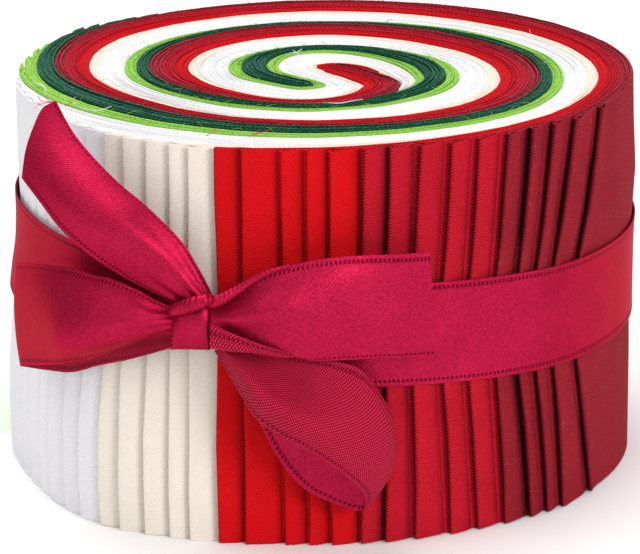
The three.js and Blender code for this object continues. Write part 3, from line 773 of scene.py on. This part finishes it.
def sheet_piece(name, grid, front, back, shares, ring=False):
    """The ribbon as a closed sheet round a grid of middle points, and its length. front shows on the side
    that the grid's normal leaves, which is along the rows crossed with across the columns."""
    rows, columns = grid.shape[:2]
    if ring:
        along = np.roll(grid, -1, axis=0) - np.roll(grid, 1, axis=0)
    else:
        along = np.gradient(grid, axis=0)
    normal = np.cross(along, np.gradient(grid, axis=1))
    normal /= np.maximum(np.linalg.norm(normal, axis=2, keepdims=True), 1e-9)
    half = normal * RIBBON_THICKNESS / 2
    points = np.concatenate([(grid - half).reshape(-1, 3), (grid + half).reshape(-1, 3)])
    run = run_along(grid[:, columns // 2])
    uv = np.stack([np.repeat(run, columns), np.tile(np.asarray(shares) * RIBBON_WIDTH, rows)], axis=1)
    faces, slots = sheet_faces(rows, columns, ring)
    piece = new_object(name, points, faces, [front, back], np.concatenate([uv, uv]))
    piece.data.polygons.foreach_set("material_index", slots)
    piece.data.set_sharp_from_angle(angle=math.radians(RIBBON_SHARP))
    return piece, run[-1]


def declare(piece, node):
    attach(piece, "root")
    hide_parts(node)


def declare_ribbon(piece, node):
    """Attaches a ribbon piece to the root and hides the model's node that it stands in for."""
    declare(piece, node)


rng = np.random.default_rng(RANDOM_SEED)
for index, colour in enumerate(COLOURS):
    for member in range(colour["strips"]):
        piece = strip_piece(index, member, rng)
        declare(piece, "strips_" + colour["name"])

# The camera that took the photograph, in the drum's own frame.
PHOTO_WIDTH, PHOTO_HEIGHT = 640, 554
SENSOR, LENS = 36, 201.22
CAMERA_PLACE = (0.2428, -573.44, 204.47)
CAMERA_PITCH = math.radians(17.112)
CAMERA_ROLL = math.radians(-0.5677)
AHEAD = Vector((0, math.cos(CAMERA_PITCH), -math.sin(CAMERA_PITCH)))
LEVEL_UP = Vector((1, 0, 0)).cross(AHEAD)
RIGHT = math.cos(CAMERA_ROLL) * Vector((1, 0, 0)) + math.sin(CAMERA_ROLL) * LEVEL_UP
UP = math.cos(CAMERA_ROLL) * LEVEL_UP - math.sin(CAMERA_ROLL) * Vector((1, 0, 0))


def seen(x, y, off):
    """Where the line of sight through a pixel of the photograph meets the drum, widened by off."""
    x, y, off = (np.asarray(value, float) for value in (x, y, off))
    per_pixel = SENSOR / LENS / PHOTO_WIDTH
    sight = (
        np.array(AHEAD)
        + np.array(RIGHT) * ((x - PHOTO_WIDTH / 2) * per_pixel)[..., None]
        - np.array(UP) * ((y - PHOTO_HEIGHT / 2) * per_pixel)[..., None]
    )
    place = np.array(CAMERA_PLACE)
    a = (sight[..., :2] ** 2).sum(axis=-1)
    b = (sight[..., :2] * place[:2]).sum(axis=-1)
    c = (place[:2] ** 2).sum() - (ROLL_RADIUS + off) ** 2
    reach = (-b - np.sqrt(np.maximum(b * b - a * c, 0))) / a
    return place + sight * reach[..., None]


def seen_at_height(x, y, z):
    """Where the line of sight through a pixel of the photograph is at height z."""
    place = np.array(CAMERA_PLACE)
    sight = seen(x, y, 0 * np.asarray(x, float)) - place
    return place + sight * ((np.asarray(z, float) - place[2]) / sight[..., 2])[..., None]


# The belt: its stand-off and crown, and how it narrows into pleats under the knot. GATHER_REACH and
# PLEAT_REACH are in degrees on either side of the knot.
BELT_STEPS, BELT_COLUMNS = 240, 11
BELT_OFF, BELT_CROWN = 0.34, 0.12
GATHER, GATHER_REACH = 0.66, 10
PLEATS, PLEAT_DEPTH, PLEAT_REACH = 2.5, 0.7, 8
# How many steps on either side the belt bridges over a high fold, and is smoothed over.
BRIDGED, SMOOTHED = 4, 3


def wrap(bearing):
    return (bearing + 540) % 360 - 180


def drum_radius(bearing):
    """The outside of the roll, without its steps, at a bearing."""
    turn = end_turn(bearing)
    if turn < ENDS_START:
        return float(outer_face(turn))
    left = sum(end_turn(e) >= turn for c in COLOURS for e in c["ends"])
    return float(inner_face(turn) + layer_at(turn) * left) if left else float(outer_face(turn - 1))


def belt_radii(bearings):
    """How far out the belt lies at each bearing."""
    radii = np.array([drum_radius(bearing) for bearing in bearings])
    radii = np.max([np.roll(radii, k) for k in range(-BRIDGED, BRIDGED + 1)], axis=0)
    return np.mean([np.roll(radii, k) for k in range(-SMOOTHED, SMOOTHED + 1)], axis=0)


def belt_piece():
    bearings = np.array([wrap(KNOT_BEARING - 360 * i / BELT_STEPS) for i in range(BELT_STEPS)])[:, None]
    shares = np.linspace(0, 1, BELT_COLUMNS)
    away = wrap(bearings - KNOT_BEARING)
    narrowed = 1 - GATHER * np.exp(-((away / GATHER_REACH) ** 2))
    z = belt_middle(bearings) + (shares - 0.5) * RIBBON_WIDTH * narrowed
    pleats = np.exp(-((away / PLEAT_REACH) ** 2)) * np.cos(2 * math.pi * PLEATS * shares)
    crown = BELT_CROWN * 4 * shares * (1 - shares)
    radius = belt_radii(bearings[:, 0])[:, None] + BELT_OFF + crown + PLEAT_DEPTH * pleats
    angle = np.radians(bearings)
    grid = np.stack(deform(radius * np.sin(angle), -radius * np.cos(angle), z), axis=-1)
    piece, length = sheet_piece("ribbon_round", grid, MATTE, SATIN, shares, True)
    declare_ribbon(piece, "ribbon_belt")


belt_piece()

# The bow's pieces as nets of points. Each point is where the photograph shows it, in that picture's own
# pixels, and how far it stands off the drum's nominal radius. A row goes across the ribbon from its lower or
# left edge.
LEFT_LOOP_SEEN = [
    [(173, 347, 3.2), (173, 339, 3.4), (173, 331, 3.5), (173, 322, 3.6), (173, 314, 3.6)],
    [(130, 359, 3.0), (131, 344, 3.0), (132, 329, 3.1), (132, 315, 3.2), (133, 300, 3.2)],
    [(100, 365, 2.8), (100, 346, 2.9), (100, 326, 3.0), (100, 306, 3.0), (100, 287, 3.0)],
    [(73, 372, 2.9), (73, 349, 3.0), (73, 325, 3.0), (73, 301, 3.2), (73, 278, 3.2)],
    [(48, 370, 3.3), (48, 345, 3.4), (48, 320, 3.4), (48, 295, 3.4), (48, 271, 3.4)],
    [(28, 367, 4.4), (25, 341, 4.5), (23, 315, 4.6), (23, 288, 4.6), (26, 265, 4.6)],
    [(21, 366, 5.9), (17, 340, 6.0), (15, 314, 6.1), (15, 287, 6.2), (17, 263, 6.2)],
    [(31, 365, 7.4), (28, 340, 7.8), (26, 313, 7.9), (28, 287, 7.7), (36, 263, 7.4)],
    [(46, 365, 8.6), (42, 344, 9.9), (41, 320, 10.2), (46, 292, 9.7), (57, 266, 7.9)],
    [(59, 364, 9.2), (52, 346, 11.4), (51, 323, 11.9), (59, 296, 10.6), (72, 268, 8.0)],
    [(70, 362, 8.8), (60, 347, 12.2), (60, 325, 12.6), (69, 297, 10.8), (83, 272, 8.0)],
    [(85, 360, 7.6), (76, 347, 12.1), (76, 324, 12.5), (85, 298, 10.7), (96, 276, 8.0)],
    [(103, 354, 6.6), (97, 346, 11.2), (95, 324, 12.0), (101, 300, 10.4), (111, 279, 7.8)],
    [(131, 344, 5.4), (126, 340, 9.2), (126, 322, 10.4), (131, 305, 9.2), (138, 291, 7.2)],
    [(153, 336, 4.8), (151, 333, 7.8), (151, 322, 8.6), (153, 312, 7.8), (158, 302, 6.4)],
    [(173, 334, 4.8), (173, 327, 6.3), (173, 320, 6.6), (173, 314, 6.2), (174, 309, 5.8)],
]
LEFT_TAIL_SEEN = [
    [(181, 304, 5.2), (188, 302, 6.2), (197, 299, 6.6), (205, 296, 6.0), (211, 294, 4.6)],
    [(155, 292, 6.6), (165, 286, 7.4), (177, 280, 7.4), (188, 272, 6.2), (196, 265, 5.0)],
    [(128, 279, 7.9), (144, 269, 8.8), (159, 258, 8.6), (171, 248, 6.8), (181, 241, 5.4)],
    [(92, 256, 9.8), (108, 242, 11.0), (124, 227, 10.2), (137, 214, 7.6), (149, 209, 5.6)],
    [(62, 230, 11.4), (76, 213, 11.8), (90, 197, 10.2), (102, 183, 7.6), (113, 178, 5.6)],
    [(38, 199, 12.0), (48, 180, 11.4), (59, 163, 9.6), (68, 148, 7.4), (77, 138, 5.4)],
    [(22, 178, 12.0), (26, 150, 10.6), (34, 126, 8.6), (43, 108, 6.8), (56, 101, 5.4)],
]
# Its first two columns are the margin that is turned up over the front.
RIGHT_TAIL_SEEN = [
    [(210, 324, 8.2), (210, 336, 8.6), (210, 348, 7.8), (210, 338, 6.8),
     (211, 328, 6.6), (211, 320, 6.9), (211, 308, 6.2), (215, 299, 5.0)],
    [(234, 334, 8.6), (233, 342, 8.9), (232, 351, 8.2), (233, 340, 7.4),
     (234, 330, 7.4), (235, 317, 8.2), (236, 305, 6.4), (240, 291, 5.2)],
    [(260, 344, 8.6), (259, 349, 8.8), (257, 353, 8.3), (258, 345, 7.6),
     (259, 332, 7.8), (260, 313, 9.0), (261, 293, 6.8), (263, 275, 5.4)],
    [(283, 351, 8.0), (283, 354, 8.1), (283, 357, 7.9), (283, 349, 7.7),
     (284, 333, 8.0), (284, 310, 8.8), (285, 287, 7.2), (287, 267, 5.4)],
    [(310, 360, 7.2), (310, 358, 7.3), (310, 354, 7.4), (310, 347, 7.5),
     (310, 330, 7.8), (311, 307, 7.8), (311, 282, 6.8), (312, 261, 5.2)],
    [(340, 360, 6.4), (340, 356, 6.5), (340, 351, 6.7), (340, 343, 6.8),
     (340, 327, 7.0), (341, 303, 6.8), (341, 278, 6.2), (341, 257, 5.0)],
    [(373, 358, 5.4), (373, 354, 5.5), (373, 349, 5.6), (373, 342, 5.7),
     (373, 326, 5.8), (373, 302, 5.7), (373, 277, 5.4), (373, 255, 4.8)],
    [(403, 357, 4.4), (403, 353, 4.5), (403, 348, 4.6), (403, 341, 4.6),
     (403, 325, 4.7), (403, 302, 4.7), (403, 277, 4.6), (403, 254, 4.4)],
    [(434, 355, 3.3), (434, 351, 3.3), (433, 347, 3.4), (433, 339, 3.4),
     (432, 323, 3.4), (432, 301, 3.4), (431, 276, 3.4), (430, 252, 3.4)],
]
RIGHT_LOOP_SEEN = [
    [(217, 350, 3.0), (226, 349, 3.0), (235, 348, 3.0), (244, 348, 2.9), (253, 347, 2.9)],
    [(240, 390, 2.9), (252, 380, 2.9), (265, 370, 2.9), (278, 360, 2.8), (290, 350, 2.8)],
    [(260, 424, 2.8), (276, 406, 2.8), (292, 389, 2.8), (308, 371, 2.7), (323, 353, 2.7)],
    [(280, 461, 2.9), (298, 438, 2.9), (317, 416, 2.8), (335, 394, 2.8), (353, 372, 2.7)],
    [(305, 489, 2.9), (324, 467, 2.9), (342, 444, 2.9), (359, 421, 2.8), (375, 398, 2.8)],
    [(336, 504, 3.0), (351, 485, 3.0), (364, 465, 3.1), (377, 445, 3.1), (387, 422, 3.1)],
    [(361, 511, 3.8), (376, 492, 3.9), (387, 473, 4.0), (394, 453, 4.0), (392, 422, 3.8)],
    [(365, 499, 5.6), (384, 482, 5.8), (394, 463, 5.8), (396, 442, 5.4), (390, 410, 4.8)],
    [(358, 487, 7.8), (373, 468, 8.2), (382, 445, 8.0), (382, 418, 7.0), (375, 388, 5.4)],
    [(337, 469, 9.2), (347, 450, 9.8), (353, 427, 8.8), (355, 402, 7.2), (358, 368, 5.4)],
    [(307, 450, 9.6), (313, 428, 10.6), (320, 407, 7.8), (323, 385, 6.2), (327, 360, 5.2)],
    [(280, 436, 9.0), (285, 412, 10.6), (293, 394, 6.0), (298, 377, 5.2), (303, 357, 5.0)],
    [(256, 418, 8.2), (262, 397, 10.1), (273, 380, 5.4), (277, 367, 4.9), (280, 354, 4.8)],
    [(238, 389, 6.9), (243, 374, 8.8), (252, 363, 5.4), (257, 357, 5.0), (262, 352, 4.8)],
    [(215, 350, 5.6), (223, 350, 6.6), (231, 350, 5.8), (238, 350, 5.2), (245, 350, 4.8)],
]
# The share of the ribbon's width at each column of a net.
EVEN = [0, 0.25, 0.5, 0.75, 1]
MARGIN_ACROSS = [0, 0.07, 0.14, 0.24, 0.42, 0.62, 0.82, 1]


def net_grid(net, shares, along, across):
    """A smooth grid through a net, with along and across steps between its points, and the share of the
    ribbon's width at each column."""
    net = np.array(net, float)
    points = seen(net[..., 0], net[..., 1], net[..., 2])
    rows = spline(points, (net.shape[0] - 1) * along)
    columns = spline(rows.transpose(1, 0, 2), (net.shape[1] - 1) * across)
    shares = np.interp(np.linspace(0, len(shares) - 1, columns.shape[0]), range(len(shares)), shares)
    return columns.transpose(1, 0, 2).copy(), shares


def gather(grid, shares, start, stop, waves, depth):
    """Presses fine folds into a grid. start and stop are shares of its length: deepest, and gone."""
    t = np.linspace(0, 1, grid.shape[0])
    amount = np.clip((stop - t) / (stop - start), 0, 1) ** 1.5
    outward = grid * (1, 1, 0)
    outward /= np.linalg.norm(outward, axis=2, keepdims=True)
    fold = depth * amount[:, None] * np.sin(2 * np.pi * waves * shares + 0.6)[None]
    return grid + outward * fold[:, :, None]


def left_loop():
    grid, shares = net_grid(LEFT_LOOP_SEEN, EVEN, along=8, across=6)
    grid = gather(grid, shares, start=0, stop=0.25, waves=2, depth=0.3)
    grid = gather(grid, shares, start=1, stop=0.72, waves=4.5, depth=0.28)
    piece, length = sheet_piece("bow_loop_left", grid, SATIN, MATTE, shares)
    declare_ribbon(piece, "bow_left_loop")


def right_loop():
    grid, shares = net_grid(RIGHT_LOOP_SEEN, EVEN, along=8, across=6)
    grid = gather(grid, shares, start=1, stop=0.75, waves=3.5, depth=0.2)
    piece, length = sheet_piece("bow_loop_right", grid, SATIN, MATTE, shares)
    declare_ribbon(piece, "bow_right_loop")


def left_tail():
    grid, shares = net_grid(LEFT_TAIL_SEEN, EVEN, along=12, across=6)
    grid = gather(grid, shares, start=0, stop=0.45, waves=3.5, depth=0.35)
    piece, length = sheet_piece("bow_tail_left", grid, MATTE, SATIN, shares)
    declare_ribbon(piece, "bow_left_tail")


def right_tail():
    grid, shares = net_grid(RIGHT_TAIL_SEEN, MARGIN_ACROSS, along=10, across=5)
    piece, length = sheet_piece("bow_tail_right", grid, SATIN, MATTE, shares)
    declare_ribbon(piece, "bow_right_tail")


left_loop()
right_loop()
left_tail()
right_tail()

# The knot as the photograph shows it: its left and right edge, its foot, and its top at either edge.
KNOT_SEEN = dict(left=170, right=211, foot=350, top_left=309, top_right=300)
# Its middle's stand-off from the drum, how far it reaches from there to its front and back, and how square
# its corners are. Lower is squarer.
KNOT_OFF, KNOT_DEPTH, KNOT_SQUARENESS = 4.75, 3.3, 0.66
KNOT_RINGS, KNOT_SIDES = 44, 80
# How far the foot of the knot curves down, in the photograph's pixels, and its pixels to a millimetre.
KNOT_FOOT_CURVE, KNOT_PIXELS_PER_MM = 1.5, 6.2
# The selvedge rolled over the top of the knot, and the one rolled along the top of the right tail: pixels,
# stand-off and half thickness.
KNOT_ROLL_SEEN = [
    (171, 313, 6.4, 0.5), (175, 310, 7.6, 0.95), (184, 307, 8.1, 1.1), (194, 304, 8.3, 1.15),
    (203, 301, 8.0, 1.1), (209, 299, 7.2, 0.9), (212, 298, 6.4, 0.5),
]
TAIL_ROLL_SEEN = [
    (208, 304, 6.4, 0.6), (215, 302, 6.9, 0.95), (226, 297, 6.5, 0.9), (238, 290, 6.0, 0.75),
    (252, 281, 5.8, 0.6), (270, 272, 5.6, 0.45), (290, 266, 5.5, 0.3),
]
ROLL_STEPS, ROLL_SIDES = 110, 28
# A rolled selvedge shows its twist as strands.
STRANDS, STRAND_DEPTH, STRAND_PITCH = 2, 0.05, 0.8


def knot_creases(side, v):
    """How far the knot's front stands out: a selvedge at its right, two creases and a soft unevenness. side
    runs from -1 at its left to 1, and v from 0 at its foot to 1."""
    bend = side + 0.3 + 0.9 * (v - 0.45) ** 2
    crease = math.exp(-((bend / 0.08) ** 2)) * math.sin(math.pi * v)
    second = math.exp(-(((side - 0.15 - 0.5 * (v - 0.7)) / 0.1) ** 2)) * math.sin(math.pi * v) ** 2
    ridge = math.exp(-(((side - 0.84) / 0.07) ** 2))
    return 0.32 * ridge - 0.34 * crease - 0.2 * second + 0.1 * math.sin(7 * side + 5 * v)


def knot_point(v, angle):
    """A point round the knot, and its place on the ribbon."""
    c, s = math.cos(angle), math.sin(angle)
    fullness = math.sqrt(1 - (2 * v - 1) ** 2 * 0.75)
    side = math.copysign(abs(c) ** KNOT_SQUARENESS, c) * (0.93 + 0.07 * fullness)
    deep = math.copysign(abs(s) ** KNOT_SQUARENESS, s)
    if s > 0:
        off = KNOT_OFF + KNOT_DEPTH * deep * fullness + s * knot_creases(side, v)
    else:
        off = KNOT_OFF + KNOT_DEPTH * deep
    k = KNOT_SEEN
    x = (k["left"] + k["right"]) / 2 + (k["right"] - k["left"]) / 2 * side
    top = k["top_left"] + (k["top_right"] - k["top_left"]) * (side + 1) / 2
    foot = k["foot"] - KNOT_FOOT_CURVE * (1 - side * side)
    uv = ((foot - top) / KNOT_PIXELS_PER_MM * v, RIBBON_WIDTH / 2 * (1 + 0.98 * side))
    return seen(x, foot + (top - foot) * v, off), uv


def ring_faces(rings, sides, turned=False):
    """The faces of a closed form of rings of points. turned is for rings that run the other way round."""
    faces = []
    for i in range(rings - 1):
        for k in range(sides):
            a, b = i * sides + k, i * sides + (k + 1) % sides
            faces.append((a, a + sides, b + sides, b) if turned else (a, b, b + sides, a + sides))
    first, last = tuple(range(sides)), tuple(range((rings - 1) * sides, rings * sides))
    return faces + ([first, last[::-1]] if turned else [first[::-1], last])


def knot_piece():
    """The ribbon drawn once round the middle of the bow."""
    points, uvs = [], []
    for i in range(KNOT_RINGS):
        for k in range(KNOT_SIDES):
            point, uv = knot_point(i / (KNOT_RINGS - 1), 2 * math.pi * k / KNOT_SIDES)
            points.append(point)
            uvs.append(uv)
    faces = ring_faces(KNOT_RINGS, KNOT_SIDES, turned=True)
    return new_object("bow_knot_wrap", points, faces, [SATIN], uvs)


def tube_piece(name, centres, radii, sides, material, across=0, strands=0):
    """A closed round form along centres, twisted of strands where it has any. across is its place across the
    cloth at each of its sides."""
    centres, radii = np.asarray(centres, float), np.asarray(radii, float)
    along = np.gradient(centres, axis=0)
    along /= np.linalg.norm(along, axis=1, keepdims=True)
    first = np.cross(along, (0.13, 0.21, 0.97))
    first /= np.linalg.norm(first, axis=1, keepdims=True)
    second = np.cross(along, first)
    angles = 2 * np.pi * np.arange(sides) / sides
    around = first[:, None] * np.cos(angles)[None, :, None] + second[:, None] * np.sin(angles)[None, :, None]
    run = run_along(centres)
    twist = strands * angles[None] + 2 * np.pi * run[:, None] / STRAND_PITCH
    ridge = 1 + STRAND_DEPTH * np.sin(twist) if strands else np.ones((len(run), sides))
    points = (centres[:, None] + around * (radii[:, None] * ridge)[:, :, None]).reshape(-1, 3)
    uvs = np.stack([np.repeat(run, sides), np.tile(np.zeros(sides) + across, len(centres))], axis=1)
    return new_object(name, points, ring_faces(len(centres), sides), [material], uvs)


def roll_piece(name, rows):
    """A selvedge that has rolled up on itself."""
    rows = spline(np.array(rows, float), ROLL_STEPS)
    centres = seen(rows[:, 0], rows[:, 1], rows[:, 2])
    across = 0.9 + 0.9 * np.cos(2 * np.pi * np.arange(ROLL_SIDES) / ROLL_SIDES)
    return tube_piece(name, centres, rows[:, 3], ROLL_SIDES, SATIN, across, STRANDS)


declare(knot_piece(), "bow_knot")
declare(roll_piece("bow_knot_roll", KNOT_ROLL_SEEN), "bow_knot")
declare(roll_piece("bow_tail_right_roll", TAIL_ROLL_SEEN), "bow_right_tail")


def thread_material(name, colour):
    tree = Tree(name)
    tone = tree.noise(0.6, 2)
    colour = tree.mix(tone, shaded(colour, 0.6), colour)
    tree.set(tree.bsdf, **{"Base Color": colour, "Roughness": 0.8})
    return tree.material


THREAD_COLOURS = {
    "green": rgb(40, 110, 84), "lime": rgb(165, 215, 90), "white": rgb(246, 246, 247),
    "cream": rgb(240, 232, 218), "red": rgb(228, 24, 34), "crimson": rgb(214, 30, 52),
    "dark_red": rgb(186, 52, 74), "pink": rgb(224, 70, 120),
}
THREAD_MATERIALS = {name: thread_material("thread_" + name, shown) for name, shown in THREAD_COLOURS.items()}

# Loose threads on the top: half thickness, points in the photograph's pixels, and the height at each.
LOOSE_THREADS = [
    ("white", 0.07, [(30, 84, 64.0), (35, 83, 64.8), (40, 84, 65.4), (45, 88, 65.2), (46, 95, 64.0)]),
    ("white", 0.05, [(75, 97, 65.5), (73, 102, 64.6), (80, 107, 64.4), (91, 110, 64.3), (101, 110, 64.3),
                     (112, 106, 64.6)]),
    ("red", 0.065, [(65, 106, 64.2), (69, 104, 64.6), (73, 101, 64.7), (74, 98, 65.2)]),
    ("crimson", 0.06, [(206, 136, 64.2), (211, 133, 64.7), (217, 128, 64.3)]),
    ("crimson", 0.06, [(249, 137, 64.1), (256, 133, 64.8), (264, 132, 64.6), (271, 129, 64.2)]),
    ("dark_red", 0.05, [(252, 131, 64.5), (256, 135, 65.0), (259, 130, 64.8)]),
    ("white", 0.065, [(286, 55, 64.4), (291, 53, 65.0), (297, 52, 65.2), (302, 49, 64.6)]),
    ("white", 0.06, [(293, 50, 64.6), (297, 53, 65.1), (299, 56, 64.5)]),
    ("white", 0.065, [(321, 103, 64.0), (330, 103, 64.4), (341, 103, 64.5), (352, 101, 64.4),
                      (364, 99, 64.0)]),
]
# The ravelled corner of the left tail: the same, with the stand-off at each point.
TAIL_FRAYS = [
    ("pink", 0.06, [(55, 101, 5.5), (48, 102, 5.8), (41, 101, 6.1), (38, 96, 6.0)]),
    ("pink", 0.05, [(54, 102, 5.6), (47, 103, 6.0), (40, 104, 6.3), (35, 108, 6.6)]),
    ("pink", 0.05, [(54, 103, 5.6), (48, 101, 6.2), (42, 105, 6.5), (37, 102, 6.6)]),
    ("crimson", 0.05, [(52, 104, 5.9), (47, 99, 6.4), (44, 96, 6.6)]),
]
THREAD_SIDES, THREAD_STEPS = 6, 10


def thread_pieces(group, threads, placed):
    """A group of threads. placed finds where a pixel lies with the third value at it."""
    for number, (colour, thickness, points) in enumerate(threads):
        rows = spline(np.array(points, float), THREAD_STEPS * (len(points) - 1))
        radii = np.full(len(rows), thickness)
        radii[0] = radii[-1] = thickness / 3
        centres = placed(rows[:, 0], rows[:, 1], rows[:, 2])
        name = f"thread_{group}_{number + 1}"
        piece = tube_piece(name, centres, radii, THREAD_SIDES, THREAD_MATERIALS[colour])
        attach(piece, "root")


# How many short fibres stand at the cut edges of each colour, and how long they are at most.
FRAYS = {"green": (210, 2.4), "lime": (120, 2.4), "white": (60, 1.2), "cream": (20, 1.0), "red": (70, 1.4),
         "crimson": (130, 1.9), "dark_red": (210, 2.4)}
FRAY_HALF_THICKNESS, FRAY_STEPS, FRAY_ROOT = 0.04, 4, 0.3


def fibre_start(index, last_turn, rng):
    """A place in the cut edges on top, a little below them."""
    turn = rng.uniform(EXIT + 0.05, last_turn)
    rooms = room_at(turn)
    depth = rooms[:index].sum() + rooms[index] * rng.uniform(0, 1)
    x, y = polar(turn, float(inner_face(turn) + layer_at(turn) * depth))
    x, y, z = deform(x, y, np.float64(STRIP_WIDTH + COLOURS[index]["lift"]))
    return np.array([float(x), float(y), float(z) - FRAY_ROOT])


def fibre_points(start, longest, rng):
    """A fibre as a row of triangles that rise from the cloth, curl and grow thinner."""
    angle = rng.uniform(0, 2 * math.pi)
    length = longest * rng.uniform(0.3, 1)
    flat = np.array([math.cos(angle), math.sin(angle), 0])
    curl = np.array([-math.sin(angle), math.cos(angle), 0]) * rng.normal(0, 0.35)
    rise = rng.uniform(0.15, 0.9)
    side = np.cross(flat, (0, 0, 1))
    points = []
    for step in range(FRAY_STEPS + 1):
        t = step / FRAY_STEPS
        centre = start + flat * length * t + curl * length * t * t
        centre[2] += FRAY_ROOT + rise * t * (1.7 - t)
        thickness = FRAY_HALF_THICKNESS * (1 - 0.7 * t)
        above = np.array([0, 0, thickness * 1.6])
        points += [centre + side * thickness, centre + above, centre - side * thickness]
    return points


def frays(index, rng):
    """Short fibres at the cut edges on top, as one piece for each colour."""
    colour = COLOURS[index]
    count, longest = FRAYS[colour["name"]]
    last_turn = min(end_turn(e) for e in colour["ends"])
    fibre = ring_faces(FRAY_STEPS + 1, 3)
    points, faces = [], []
    for _ in range(count):
        start = fibre_start(index, last_turn, rng)
        faces += [tuple(corner + len(points) for corner in face) for face in fibre]
        points += fibre_points(start, longest, rng)
    piece = new_object("fray_" + colour["name"], points, faces, [THREAD_MATERIALS[colour["name"]]])
    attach(piece, "root")


thread_pieces("top", LOOSE_THREADS, seen_at_height)
thread_pieces("tail", TAIL_FRAYS, seen)
for index in range(len(COLOURS)):
    frays(index, rng)

FLOOR_HALF = 6000
# The lights, in metres and watts.
LIGHTS = [
    dict(name="key", place=(0.7, -0.84, 0.52), size=0.45, power=6.8),
    dict(name="top", place=(-0.15, 0.15, 1.2), size=0.9, power=9.5),
    dict(name="fill", place=(-0.4, -1.1, 0.9), size=1.8, power=5),
]
LIT_PLACE = Vector((0, 0, 0.03))
WORLD_BRIGHTNESS = 0.48


def floor_piece():
    tree = Tree("pale_floor")
    colour = tree.mix(tree.noise(400, 2), rgb(250, 250, 250), rgb(254, 254, 254))
    tree.set(tree.bsdf, **{"Base Color": colour, "Roughness": 0.9})
    h = FLOOR_HALF
    corners = [(-h, -h, 0), (h, -h, 0), (h, h, 0), (-h, h, 0)]
    new_object("floor", corners, [(0, 1, 2, 3)], [tree.material])


def softbox(name, place, size, power):
    light = bpy.data.lights.new(name, "AREA")
    light.shape = "DISK"
    light.size = size
    light.energy = power
    obj = bpy.data.objects.new(name, light)
    bpy.context.scene.collection.objects.link(obj)
    obj.location = place
    obj.rotation_mode = "QUATERNION"
    obj.rotation_quaternion = (LIT_PLACE - Vector(place)).to_track_quat("-Z", "Y")


def white_world():
    world = bpy.data.worlds.new("studio")
    world.use_nodes = True
    background = world.node_tree.nodes["Background"]
    background.inputs["Color"].default_value = (1, 1, 1, 1)
    background.inputs["Strength"].default_value = WORLD_BRIGHTNESS
    bpy.context.scene.world = world
    bpy.context.scene.view_settings.view_transform = "Standard"


def photo_camera():
    camera = bpy.data.objects.new("camera", bpy.data.cameras.new("camera"))
    bpy.context.scene.collection.objects.link(camera)
    turned = Matrix((RIGHT, UP, -AHEAD)).transposed()
    camera.matrix_world = Matrix.Translation(Vector(CAMERA_PLACE) * MM) @ turned.to_4x4()
    camera.data.sensor_width = SENSOR
    camera.data.lens = LENS
    camera.data.clip_end = 100
    bpy.context.scene.camera = camera


floor_piece()
for light in LIGHTS:
    softbox(**light)
white_world()
photo_camera()
